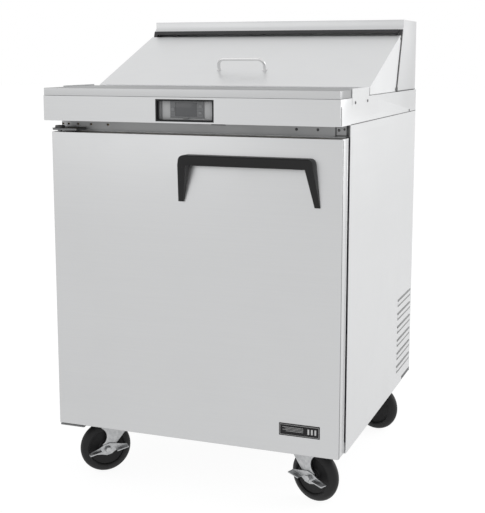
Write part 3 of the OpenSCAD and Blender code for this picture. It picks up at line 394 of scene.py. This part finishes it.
CAD_FINISH = {
    STEEL_LONG: ["back_panel", "rear_grille", "front_frame", "counter_top", "hood_shell",
                 "door_skin", "divider_bars", "pan_well"],
    STEEL_SIDE: ["left_side_panel", "right_side_panel"],
    STEEL_BOARD_SHADED: ["cutting_board"],
    STEEL_LID_LIT: ["lid_skin"],
    STEEL_STRIP_SHADED: ["front_strip"],
    STEEL_PAN: ["food_pans"],
    STEEL_DARK: ["cabinet_screws", "lid_hinge"],
    ZINC_SHADED: ["hinge_brackets"],
    ZINC: ["base_pan", "board_brackets", "caster_plates", "shelf_clips",
           "front_left_fork", "front_right_fork", "rear_left_fork", "rear_right_fork",
           "front_left_brake", "front_right_brake", "lid_tube"],
    CHROME: ["lid_handle"],
    BLACK_GRIP: ["door_handle", "drain_tray", "cord_inlet"],
    BLACK_TRIM: ["controller_frame", "door_badge", "evaporator_fan", "condenser_fan"],
    GREY_CASE: ["controller_body"],
    KEY_CAP: ["key_power", "key_up", "key_down"],
    RUBBER: ["front_left_wheel", "front_right_wheel", "rear_left_wheel", "rear_right_wheel"],
    GASKET: ["door_gasket", "hood_gasket"],
    LINER: ["inner_liner", "door_liner", "lid_liner", "evaporator_cover", "lid_foam"],
    PAINT_BLACK: ["compressor", "evaporator_motor", "condenser_motor"],
    WHITE_WIRE: ["shelf"],
    FOAM: ["cabinet_foam", "door_foam"],
    FOIL: ["hood_insulation"],
    FINS_X: ["evaporator_coil"],
    FINS_Y: ["condenser_coil"],
}
for finish, names in CAD_FINISH.items():
    for node_name in names:
        mesh = NODES[node_name].data
        mesh.materials.clear()
        mesh.materials.append(finish)

# ---------------------------------------------------------------- mesh helpers


def place_piece(name, bm, body, finish, smooth=40.0, replaces=()):
    """Turns a bmesh into a piece that rides on a body, with edges over smooth degrees sharp."""
    mesh = bpy.data.meshes.new(name)
    bm.to_mesh(mesh)
    bm.free()
    for poly in mesh.polygons:
        poly.use_smooth = True
    mesh.set_sharp_from_angle(angle=math.radians(smooth))
    mesh.materials.append(finish)
    piece = bpy.data.objects.new(name, mesh)
    bpy.context.scene.collection.objects.link(piece)
    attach(piece, body)
    if replaces:
        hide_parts(*replaces)


def cad_copy(node_name, join=True):
    """The node's mesh as a clean bmesh, with its flat faces joined if asked."""
    bm = bmesh.new()
    bm.from_mesh(NODES[node_name].data)
    bmesh.ops.remove_doubles(bm, verts=bm.verts, dist=1e-6)
    if join:
        bmesh.ops.dissolve_limit(bm, angle_limit=math.radians(0.6), verts=bm.verts,
                                 edges=bm.edges, delimit={"NORMAL"})
    bm.normal_update()
    return bm


def is_convex(edge, least):
    """Whether the edge turns outward by more than least degrees."""
    if len(edge.link_faces) != 2:
        return False
    return edge.is_convex and edge.calc_face_angle(0.0) > math.radians(least)


def on_planes(point, planes):
    """How many of the planes (axis, value) the point lies on."""
    near = 2e-4
    return sum(abs(point[axis] - value) < near for axis, value in planes)


def round_edges(bm, edges, radius, segments):
    """Rounds the given edges."""
    if edges:
        bmesh.ops.bevel(bm, geom=edges, offset=radius, offset_type="OFFSET", segments=segments,
                        profile=0.5, affect="EDGES", clamp_overlap=True)


def box_mesh(bm, low, high):
    """Adds a box between two corners to bm."""
    corners = [bm.verts.new((x, y, z)) for x in (low[0], high[0])
               for y in (low[1], high[1]) for z in (low[2], high[2])]
    for sides in ((0, 1, 3, 2), (4, 6, 7, 5), (0, 4, 5, 1),
                  (2, 3, 7, 6), (0, 2, 6, 4), (1, 5, 7, 3)):
        bm.faces.new([corners[i] for i in sides])


def lathe(profile, steps=64):
    """A closed ring of (radius, along) points turned about Z."""
    bm = bmesh.new()
    rings = []
    for i in range(steps):
        a = 2 * math.pi * i / steps
        rings.append([bm.verts.new((r * math.cos(a), r * math.sin(a), h)) for r, h in profile])
    n = len(profile)
    for i in range(steps):
        here, there = rings[i], rings[(i + 1) % steps]
        for k in range(n):
            m = (k + 1) % n
            bm.faces.new((here[k], there[k], there[m], here[m]))
    bmesh.ops.recalc_face_normals(bm, faces=bm.faces)
    return bm


def turn_to(bm, pos, axis):
    """Stands a mesh drawn about Z at pos with Z along axis."""
    turn = Vector((0, 0, 1)).rotation_difference(Vector(axis)).to_matrix().to_4x4()
    bmesh.ops.transform(bm, matrix=Matrix.Translation(pos) @ turn, verts=bm.verts)
    return bm


# ---------------------------------------------------------------- shaped pieces

CORNERS = ("front_left", "front_right", "rear_left", "rear_right")
SHEET = 0.0012


def outer(node_name, axes="xyz"):
    """Picks edges that lie on at least two of the node's outer planes."""
    low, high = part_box(node_name)
    planes = []
    for k, axis in enumerate("xyz"):
        if axis in axes:
            planes += [(k, low[k]), (k, high[k])]

    def pick(edge):
        middle = (edge.verts[0].co + edge.verts[1].co) / 2
        return on_planes(middle, planes) >= 2

    return pick


def rounded_copy(node_name, body, finish, radius, pick=None, segments=3, smooth=40.0, least=30.0,
                 join=True):
    """Stands in for a node with the same form and rounded folds."""
    bm = cad_copy(node_name, join)
    edges = [e for e in bm.edges if is_convex(e, least) and (pick is None or pick(e))]
    round_edges(bm, edges, radius, segments)
    place_piece(node_name + "_folded", bm, body, finish, smooth, (node_name,))


def slab(name, low, high, radius, body, finish):
    """A thin bar or plate with rounded edges."""
    bm = bmesh.new()
    box_mesh(bm, low, high)
    bmesh.ops.recalc_face_normals(bm, faces=bm.faces)
    round_edges(bm, list(bm.edges), radius, 2)
    place_piece(name, bm, body, finish)


def join_into(bm, other):
    """Adds another mesh to bm."""
    mesh = bpy.data.meshes.new("part")
    other.to_mesh(mesh)
    other.free()
    bm.from_mesh(mesh)
    bpy.data.meshes.remove(mesh)


def arc_points(mid, r, start, end, steps):
    """Points (across, along) on an arc, in degrees."""
    return [(mid[0] + r * math.cos(math.radians(start + (end - start) * k / steps)),
             mid[1] + r * math.sin(math.radians(start + (end - start) * k / steps)))
            for k in range(steps + 1)]


def loft(bm, rings, close=True):
    """Skins a row of rings, back to the first one if closed."""
    made = [[bm.verts.new(p) for p in ring] for ring in rings]
    n = len(made[0])
    for a, b in zip(made, made[1:] + ([made[0]] if close else [])):
        for i in range(n):
            bm.faces.new((a[i], a[(i + 1) % n], b[(i + 1) % n], b[i]))
    return made


def node_solids(node_name):
    """Each separate solid of a node as (low corner, high corner), in a fixed order."""
    bm = bmesh.new()
    bm.from_mesh(NODES[node_name].data)
    bmesh.ops.remove_doubles(bm, verts=bm.verts, dist=1e-6)
    left = set(bm.verts)
    found = []
    while left:
        todo = [left.pop()]
        group = list(todo)
        while todo:
            v = todo.pop()
            for e in v.link_edges:
                w = e.other_vert(v)
                if w in left:
                    left.remove(w)
                    todo.append(w)
                    group.append(w)
        found.append((Vector([min(v.co[k] for v in group) for k in range(3)]),
                      Vector([max(v.co[k] for v in group) for k in range(3)])))
    bm.free()
    return sorted(found, key=lambda corners: tuple(corners[0]))


def screw_head(at, axis, radius, height):
    """A pan head with a round recess; its foot is at the given place and it rises along axis."""
    recess = height * 0.42
    profile = [(0.0004, recess), (radius * 0.34, recess), (radius * 0.36, height * 0.98)]
    for k in range(1, 7):
        a = math.radians(90 - 90 * k / 6)
        profile.append((radius * (0.36 + 0.64 * math.cos(a)), height * (0.12 + 0.86 * math.sin(a))))
    profile += [(radius, 0.0), (0.0004, 0.0)]
    return turn_to(lathe(profile, 28), at, axis)


def screw_heads():
    """Domed heads in place of the plain ones, on the strip and on both sides."""
    head_tall = 0.0015
    rise = head_tall - 0.00002
    screws = bmesh.new()
    for low, high in node_solids("cabinet_screws"):
        size = high - low
        middle = (low + high) / 2
        at_the_side = abs(middle.x) > 0.34 and low.z > 0.86 and size.x > 0.006
        if size.x > size.y + 1e-4 or at_the_side and size.y < size.z + 1e-4:
            side = 1 if middle.x > 0 else -1
            foot = (high.x if side > 0 else low.x) - side * head_tall
            at, axis = (foot, middle.y, middle.z), (side, 0, 0)
        else:
            at, axis = (middle.x, low.y + head_tall, middle.z), (0, -1, 0)
        join_into(screws, screw_head(at, axis, size.z / 2, rise))
    place_piece("screw_heads", screws, "cabinet", SCREW_METAL, 50.0, ("cabinet_screws",))


def folded_sheets():
    """Skins and castings with rounded edges."""
    rounded_copy("door_skin", "door", STEEL_DOOR, 0.0022, outer("door_skin"))
    rounded_copy("counter_top", "cabinet", STEEL_BAND, 0.0022, outer("counter_top", "xy"))
    rounded_copy("cutting_board", "board", STEEL_BOARD_SHADED, 0.004, outer("cutting_board"), 4)
    rounded_copy("hood_shell", "cabinet", STEEL_HOOD, 0.0018, outer("hood_shell"))
    rounded_copy("door_handle", "door", BLACK_GRIP, 0.0018, None, 3, 50.0, 35.0, False)
    rounded_copy("left_side_panel", "cabinet", STEEL_SIDE, 0.0005,
                 outer("left_side_panel", "xy"), 2)
    for corner in CORNERS:
        rounded_copy(corner + "_fork", corner + "_swivel", ZINC, 0.0009, None, 2, 45.0, 40.0)
    for corner in CORNERS[:2]:
        rounded_copy(corner + "_brake", corner + "_pedal", ZINC, 0.0008, None, 2, 45.0, 40.0)


def turned_wheel(name, body):
    """Tread, side walls with a rib and a recessed web, and a hub."""
    low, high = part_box(name)
    spin = next(j for j in JOINTS.values() if j["child"] == body)
    r = (high.z - low.z) / 2
    half = 0.016
    hub = half + 0.0024
    bore = 0.0051
    side = [(bore, hub), (0.0112, hub), (0.0125, hub - 0.0012), (0.0155, hub - 0.0014),
            (0.0168, hub - 0.0032), (0.0174, half - 0.005), (0.019, half - 0.0062)]
    side += [(r - 0.0225, half - 0.0066), (r - 0.0205, half - 0.0056),
             (r - 0.0192, half - 0.0016)]
    side += arc_points((r - 0.0155, half - 0.0035), 0.0035, 150, 60, 4)
    side += [(r - 0.009, half - 0.0022), (r - 0.0055, half - 0.0045), (r - 0.0028, half - 0.0075),
             (r - 0.0012, half - 0.0108), (r - 0.0003, half - 0.0138), (r, half - 0.016)]
    wheel = lathe(side + [(a, -h) for a, h in reversed(side[:-1])], 96)
    turn_to(wheel, (low + high) / 2, Vector(spin["axis"]))
    place_piece(name + "_turned", wheel, body, RUBBER, 34.0, (name,))


def pressed_pan(pans, low, high):
    """A pan with a rolled rim, round corners and sloping walls, added to pans."""
    top = high.z
    depth = top - low.z

    def level(inset, r, down):
        x0, y0 = low.x + inset + r, low.y + inset + r
        x1, y1 = high.x - inset - r, high.y - inset - r
        ring = []
        for mid, start in (((x1, y1), 0), ((x0, y1), 90), ((x0, y0), 180), ((x1, y0), 270)):
            ring += [(x, y, top - down) for x, y in arc_points(mid, r, start, start + 90, 6)]
        return ring

    inside = [level(0.0, 0.010, 0.0006), level(0.0004, 0.010, 0.0001), level(0.0012, 0.0095, 0.0),
              level(0.0065, 0.0125, 0.0), level(0.0078, 0.014, 0.0004),
              level(0.0084, 0.0145, 0.0016), level(0.0088, 0.015, 0.012),
              level(0.0094, 0.0145, depth - 0.014), level(0.0115, 0.013, depth - 0.0055),
              level(0.0165, 0.0095, depth - 0.002), level(0.026, 0.004, depth - 0.0011)]
    outside = [level(0.026, 0.004, depth - 0.0001), level(0.016, 0.0095, depth - 0.0008),
               level(0.0108, 0.013, depth - 0.005), level(0.0086, 0.0145, depth - 0.014),
               level(0.008, 0.015, 0.0125), level(0.0076, 0.0145, 0.0016),
               level(0.0004, 0.010, 0.0012)]
    made = loft(pans, inside + outside)
    floor, under = made[len(inside) - 1], made[len(inside)]
    pans.faces.new(floor)
    pans.faces.new(reversed(under))
    for i, here in enumerate(floor):
        k = (i + 1) % len(floor)
        shared = pans.faces.get((here, floor[k], under[k], under[i]))
        if shared:
            pans.faces.remove(shared)


def pressed_pans():
    pans = bmesh.new()
    for low, high in node_solids("food_pans"):
        pressed_pan(pans, low, high)
    bmesh.ops.recalc_face_normals(pans, faces=pans.faces)
    place_piece("pressed_pans", pans, "cabinet", STEEL_PAN, 40.0, ("food_pans",))


# Right side panel: slots near the rear foot of the sheet
side_low, side_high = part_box("right_side_panel")
tray_low, tray_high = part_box("drain_tray")
skin_x, skin_in = side_high.x, side_high.x - SHEET
slot_y0, slot_y1 = side_high.y - 0.165, side_high.y - 0.015
slot_low = [side_low.z + 0.0395 + 0.0362 * i for i in range(6)]
slot_tall = 0.0105
relief_y = tray_low.y - 0.034
relief_z = side_low.z + 0.012


def right_side_sheet():
    """The sheet round its slots, with a hem and a front flange, cut away over the tray."""
    panel = bmesh.new()
    y0, y1, z0 = side_low.y, side_high.y, side_low.z
    slots_end = slot_low[-1] + slot_tall
    areas = [(y0, relief_y, z0, relief_z), (tray_high.y + 0.008, y1, z0, relief_z),
             (y0, y1, relief_z, slot_low[0]),
             (y0, slot_y0, slot_low[0], slots_end), (slot_y1, y1, slot_low[0], slots_end)]
    areas += [(slot_y0, slot_y1, low_z + slot_tall, next_z)
              for low_z, next_z in zip(slot_low, slot_low[1:])]
    areas.append((y0, y1, slots_end, side_high.z))
    for a0, a1, b0, b1 in areas:
        box_mesh(panel, (skin_in, a0, b0), (skin_x, a1, b1))
    box_mesh(panel, (skin_x - 0.014, y0, z0), (skin_in, relief_y, z0 + SHEET))
    box_mesh(panel, (skin_x - 0.010, y0, relief_z), (skin_in, y0 + SHEET, side_high.z))
    bmesh.ops.recalc_face_normals(panel, faces=panel.faces)
    place_piece("right_side_sheet", panel, "cabinet", STEEL_SIDE, 40.0, ("right_side_panel",))
    # Painted shade: a dark strip set back in the cut over the tray, where the opening lies in
    # shadow.
    slab("tray_cut_shade", (skin_x - 0.0036, relief_y + 0.001, z0 + 0.0006),
         (skin_x - 0.0008, tray_high.y + 0.006, relief_z), 0.0005, "cabinet", SEAM_PAINTED_SHADOW)


def louvres():
    """Lips pressed out over the slots, each with a strip of painted shade at the fold above and a
    strip of painted shade at the mouth below.
    """
    lips = bmesh.new()
    y0, y1 = slot_y0 - 0.003, slot_y1 + 0.003
    profile = [(-0.001, 0.0), (0.0002, 0.0), (0.0007, -0.0028), (0.0014, -0.0062),
               (0.0014, -0.0118), (0.001, -0.0124), (0.0008, -0.0118), (0.0006, -0.006),
               (-0.0004, -0.002), (-0.001, -0.0016)]
    for low_z in slot_low:
        top = low_z + 0.0162
        rings = []
        for t in range(15):
            along = t / 14
            swell = min(1.0, 7.5 * min(along, 1 - along) + 0.12)
            rings.append([(skin_x + (x if x < 0 else x * swell), y0 + (y1 - y0) * along, top + h)
                          for x, h in profile])
        made = loft(lips, rings, False)
        lips.faces.new(made[0])
        lips.faces.new(reversed(made[-1]))
        slab("louvre_fold_shade", (skin_x - 0.0004, y0 + 0.001, top - 0.0034),
             (skin_x + 0.0011, y1 - 0.001, top + 0.0018), 0.0004, "cabinet", LOUVRE_PAINTED_SHADE)
        slab("louvre_mouth_shade", (skin_x - 0.0004, y0 + 0.001, low_z - 0.0014),
             (skin_x + 0.0006, y1 - 0.001, low_z + 0.0034), 0.0003, "cabinet", LOUVRE_PAINTED_SHADE)
    bmesh.ops.recalc_face_normals(lips, faces=lips.faces)
    place_piece("louvre_lips", lips, "cabinet", STEEL_SIDE, 50.0)


def band_seam_shadows():
    """Painted shadow lines in the seams under the worktop band, painted shade at its corner folds,
    and the drip slot under its hem.
    """
    low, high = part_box("counter_top")
    drip_x0, drip_x1 = 0.063, 0.095
    for side in (-1, 1):
        x0, x1 = sorted((side * (high.x - 0.0006), side * (high.x + 0.0003)))
        slab("side_seam_shadow", (x0, low.y + 0.083, low.z - 0.0012),
             (x1, high.y - 0.004, low.z + 0.0008), 0.0002, "cabinet", SEAM_PAINTED_SHADOW)
        slab("corner_fold_shade", (x0, low.y + 0.0023, low.z + 0.001),
             (x1, low.y + 0.0080, low.z + 0.0405), 0.0002, "cabinet", FOLD_PAINTED_SHADE)
    slab("drip_slot", (drip_x0, low.y + 0.0001, low.z - 0.0018),
         (drip_x1, low.y + 0.004, low.z - 0.0001), 0.0001, "cabinet", BLACK_TRIM)


def nose_shade():
    """Painted shade: a dark strip between the board and the nose of the lid, where the lid's front
    lip lies in shade.
    """
    low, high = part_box("lid_skin")
    slab("nose_shade", (low.x + 0.002, low.y - 0.0009, low.z + 0.0006),
         (high.x - 0.002, low.y + 0.0003, low.z + 0.009), 0.0003, "lid", STEEL_PAINTED_SHADE)


def hood_feet():
    """Painted shadow lines under the hood's sides, and painted shade in the gap beside the lid,
    shaped as a dark bracket.
    """
    low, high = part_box("hood_shell")
    foot_y, gap_shade_y0, gap_shade_y1 = 0.150, 0.146, 0.162
    for side in (-1, 1):
        x0, x1 = sorted((side * (high.x - 0.0004), side * (high.x + 0.0005)))
        slab("hood_foot_shadow", (x0, foot_y, low.z + 0.0004), (x1, high.y - 0.004, low.z + 0.0024),
             0.0002, "cabinet", SEAM_PAINTED_SHADOW)
        slab("gap_shade", (x0, gap_shade_y0, low.z + 0.0002), (x1, gap_shade_y1, low.z + 0.011),
             0.0002, "cabinet", STEEL_PAINTED_SHADE)


def controller():
    """Pale recess round the module, with dark ribs at its left that are painted shade for the
    recess's shadowed left wall, a screen, a sensor and label rules.
    """
    win_low, win_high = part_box("controller_frame")
    mod_low, mod_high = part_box("controller_body")
    tray_y = mod_low.y + 0.0016
    z_low, z_high = win_low.z + 0.0037, win_high.z - 0.0037
    gap = 0.0003
    for x0, x1, z0, z1 in ((win_low.x + 0.0132, mod_low.x - gap, z_low, z_high),
                           (mod_high.x + gap, win_high.x - 0.0037, z_low, z_high),
                           (mod_low.x - gap, mod_high.x + gap, z_low, mod_low.z - gap)):
        slab("recess_panel", (x0, tray_y, z0), (x1, tray_y + 0.012, z1), 0.0004, "cabinet", RECESS)
    # The dark ribs at the left of the recess are painted shade for the recess's shadowed left wall.
    for k, (x, wide) in enumerate(((0.0037, 0.0030), (0.0070, 0.0034), (0.0107, 0.0024))):
        slab("recess_rib", (win_low.x + x, tray_y - 0.0008 * (k % 2), z_low),
             (win_low.x + x + wide, tray_y + 0.012, z_high), 0.0005, "cabinet", RECESS_DARK)
    slab("screen_glass", (mod_low.x + 0.0122, mod_low.y + 0.0003, mod_low.z + 0.0037),
         (mod_low.x + 0.0628, mod_low.y + 0.0014, mod_low.z + 0.0328), 0.0003, "cabinet", SCREEN)
    slab("sensor", (mod_low.x + 0.030, mod_low.y - 0.0022, mod_low.z - 0.0016),
         (mod_low.x + 0.044, mod_low.y + 0.0006, mod_low.z + 0.0014), 0.0008, "cabinet", KEY_CAP)
    rule_y0, rule_y1 = mod_low.y - 0.0003, mod_low.y + 0.0003
    for x in (mod_low.x + 0.0022, mod_high.x - 0.0145):
        for k in range(5):
            z = mod_low.z + 0.004 + k * 0.0064
            slab("label_rule", (x, rule_y0, z), (x + 0.0085, rule_y1, z + 0.0007), 0.0001,
                 "cabinet", KEY_CAP)
    slab("label_line", (mod_high.x - 0.0046, rule_y0, mod_low.z + 0.003),
         (mod_high.x - 0.0038, rule_y1, mod_high.z - 0.003), 0.0001, "cabinet", RECESS_DARK)


def badge_marks():
    """A pale border, rules and bars on the plain plate; (x0, x1, z0, z1) from its low corner."""
    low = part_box("door_badge")[0]
    face = low.y - 0.0002
    border = [(0.002, 0.092, 0.0252, 0.0258), (0.002, 0.092, 0.0022, 0.0028),
              (0.002, 0.0026, 0.0022, 0.0258), (0.0914, 0.092, 0.0022, 0.0258)]
    rules = [(0.008, 0.056, 0.0195, 0.0202), (0.014, 0.056, 0.0165, 0.0172),
             (0.008, 0.056, 0.0135, 0.0142), (0.016, 0.056, 0.0105, 0.0112)]
    bars = [(x, x + 0.004, 0.008, 0.020) for x in (0.066, 0.074, 0.082)]
    for x0, x1, z0, z1 in border + rules + bars:
        slab("badge_mark", (low.x + x0, face, low.z + z0), (low.x + x1, face + 0.0006, low.z + z1),
             0.0001, "door", BADGE_PALE)


def door_edges():
    """A painted shade line at the fold at the front of the door, and a return over its gasket at
    both sides.
    """
    low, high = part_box("door_skin")
    slab("door_fold_shade", (high.x - 0.0004, low.y + 0.0019, low.z + 0.002),
         (high.x + 0.0003, low.y + 0.0052, high.z - 0.002), 0.0002, "door", FOLD_PAINTED_SHADE)
    for x in (low.x, high.x - 0.0014):
        slab("door_return", (x, high.y - 0.001, low.z), (x + 0.0014, high.y + 0.0045, high.z),
             0.0004, "door", STEEL_DOOR)


def breaker_strip():
    """Plastic strip under the mouth of the cabinet."""
    low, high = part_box("inner_liner")
    slab("breaker_strip", (low.x + 0.0016, low.y + 0.0001, low.z - 0.0142),
         (high.x - 0.0016, low.y + 0.0029, low.z + 0.0016), 0.0005, "cabinet", LINER)


def top_hinge():
    """A cover over the top bracket, with a round boss on the door's axis, both in steel darkened as
    painted shade under the worktop.
    """
    low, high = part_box("hinge_brackets")
    strip_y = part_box("front_strip")[0].y
    axis_x, axis_y = JOINTS["door_hinge"]["pos_m"][:2]
    boss_z = high.z - 0.0049
    boss = lathe([(0.0052, 0.0), (0.0105, 0.0), (0.0112, 0.0008), (0.0112, 0.0052),
                  (0.0098, 0.0066), (0.0052, 0.0066)], 40)
    turn_to(boss, (axis_x, axis_y, boss_z), (0, 0, 1))
    place_piece("hinge_boss", boss, "cabinet", STEEL_PAINTED_SHADE)
    slab("hinge_cover", (low.x + 0.0004, strip_y - 0.0495, boss_z + 0.0001),
         (low.x + 0.061, strip_y - 0.0004, boss_z + 0.0011), 0.0003, "cabinet", STEEL_PAINTED_SHADE)


def latch_bracket():
    """The bracket at the right end of the strip, as four flat pieces in steel darkened as painted
    shade under the worktop.
    """
    low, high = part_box("front_strip")
    edge = high.x - 0.032
    for x0, x1, z0, z1 in ((edge, edge + 0.0024, 0.0005, 0.0255),
                           (edge, high.x - 0.0006, 0.0012, 0.0034),
                           (edge + 0.004, edge + 0.013, 0.0195, 0.0246),
                           (edge + 0.0245, high.x - 0.0008, 0.0012, 0.0246)):
        slab("latch_bracket", (x0, low.y - 0.0012, low.z + z0), (x1, low.y + 0.0003, low.z + z1),
             0.0003, "cabinet", STEEL_PAINTED_SHADE)


screw_heads()
folded_sheets()
for corner_name in CORNERS:
    turned_wheel(corner_name + "_wheel", corner_name + "_roll")
pressed_pans()
right_side_sheet()
louvres()
band_seam_shadows()
nose_shade()
hood_feet()
controller()
badge_marks()
door_edges()
breaker_strip()
top_hinge()
latch_bracket()

# ---------------------------------------------------------------- stage


def seen_directly(tree):
    """A mask of the rays that show the backdrop itself, straight or in a gloss."""
    seen = add(tree, "ShaderNodeLightPath")
    return math_node(tree, "MAXIMUM", seen.outputs["Is Camera Ray"],
                     math_node(tree, "MAXIMUM", seen.outputs["Is Glossy Ray"],
                               seen.outputs["Is Transmission Ray"]))


def blend_shaders(tree, amount, a, b):
    """Mixes two shaders by a mask."""
    node = add(tree, "ShaderNodeMixShader")
    for socket, value in zip(node.inputs, (amount, a.outputs[0], b.outputs[0])):
        tree.links.new(value, socket)
    return node.outputs[0]


def studio_floor():
    span = 30.0
    bm = bmesh.new()
    bm.faces.new([bm.verts.new((x * span, y * span, 0))
                  for x, y in ((-1, -1), (1, -1), (1, 1), (-1, 1))])
    mesh = bpy.data.meshes.new("studio_floor")
    bm.to_mesh(mesh)
    bm.free()
    floor = bpy.data.objects.new("studio_floor", mesh)
    bpy.context.scene.collection.objects.link(floor)

    mat = bpy.data.materials.new("studio_floor")
    mat.use_nodes = True
    tree = mat.node_tree
    tree.nodes.clear()
    paper = add(tree, "ShaderNodeBsdfDiffuse", Color=(0.92, 0.92, 0.92, 1))
    glow = add(tree, "ShaderNodeEmission", Strength=1.12)
    amount = math_node(tree, "MULTIPLY", seen_directly(tree), 0.82)
    tree.links.new(blend_shaders(tree, amount, paper, glow),
                   add(tree, "ShaderNodeOutputMaterial").inputs["Surface"])
    mesh.materials.append(mat)


def studio_world():
    world = bpy.data.worlds.new("studio")
    world.use_nodes = True
    bpy.context.scene.world = world
    tree = world.node_tree
    tree.nodes.clear()
    soft = add(tree, "ShaderNodeBackground", Strength=0.62, Color=(1, 1, 1, 1))
    white = add(tree, "ShaderNodeBackground", Strength=1.0, Color=(1, 1, 1, 1))
    tree.links.new(blend_shaders(tree, seen_directly(tree), soft, white),
                   add(tree, "ShaderNodeOutputWorld").inputs["Surface"])


def soft_lamp(name, at, aim, size, watts):
    lamp = bpy.data.lights.new(name, "AREA")
    lamp.shape = "RECTANGLE"
    lamp.size, lamp.size_y = size
    lamp.energy = watts
    holder = bpy.data.objects.new(name, lamp)
    holder.location = at
    holder.rotation_euler = (Vector(aim) - Vector(at)).to_track_quat("-Z", "Y").to_euler()
    bpy.context.scene.collection.objects.link(holder)


def main_view():
    tilt_down, turn = 8.95, 20.56
    view = bpy.data.cameras.new("view")
    view.lens = 73.894
    view.sensor_width = 36.0
    view.shift_x = -0.00524
    view.shift_y = -0.0647
    eye = bpy.data.objects.new("view", view)
    eye.location = (0.92491, -2.47197, 1.00508)
    eye.rotation_euler = (math.radians(90 - tilt_down), 0.0, math.radians(turn))
    bpy.context.scene.collection.objects.link(eye)
    bpy.context.scene.camera = eye
    bpy.context.scene.view_settings.view_transform = "Standard"


studio_floor()
studio_world()
soft_lamp("right_softbox", (2.6, 1.6, 1.5), (0.2, 0.1, 0.6), (2.0, 2.0), 34.0)
soft_lamp("front_softbox", (-1.6, -2.8, 2.2), (0, 0, 0.6), (2.4, 2.4), 7.0)
main_view()
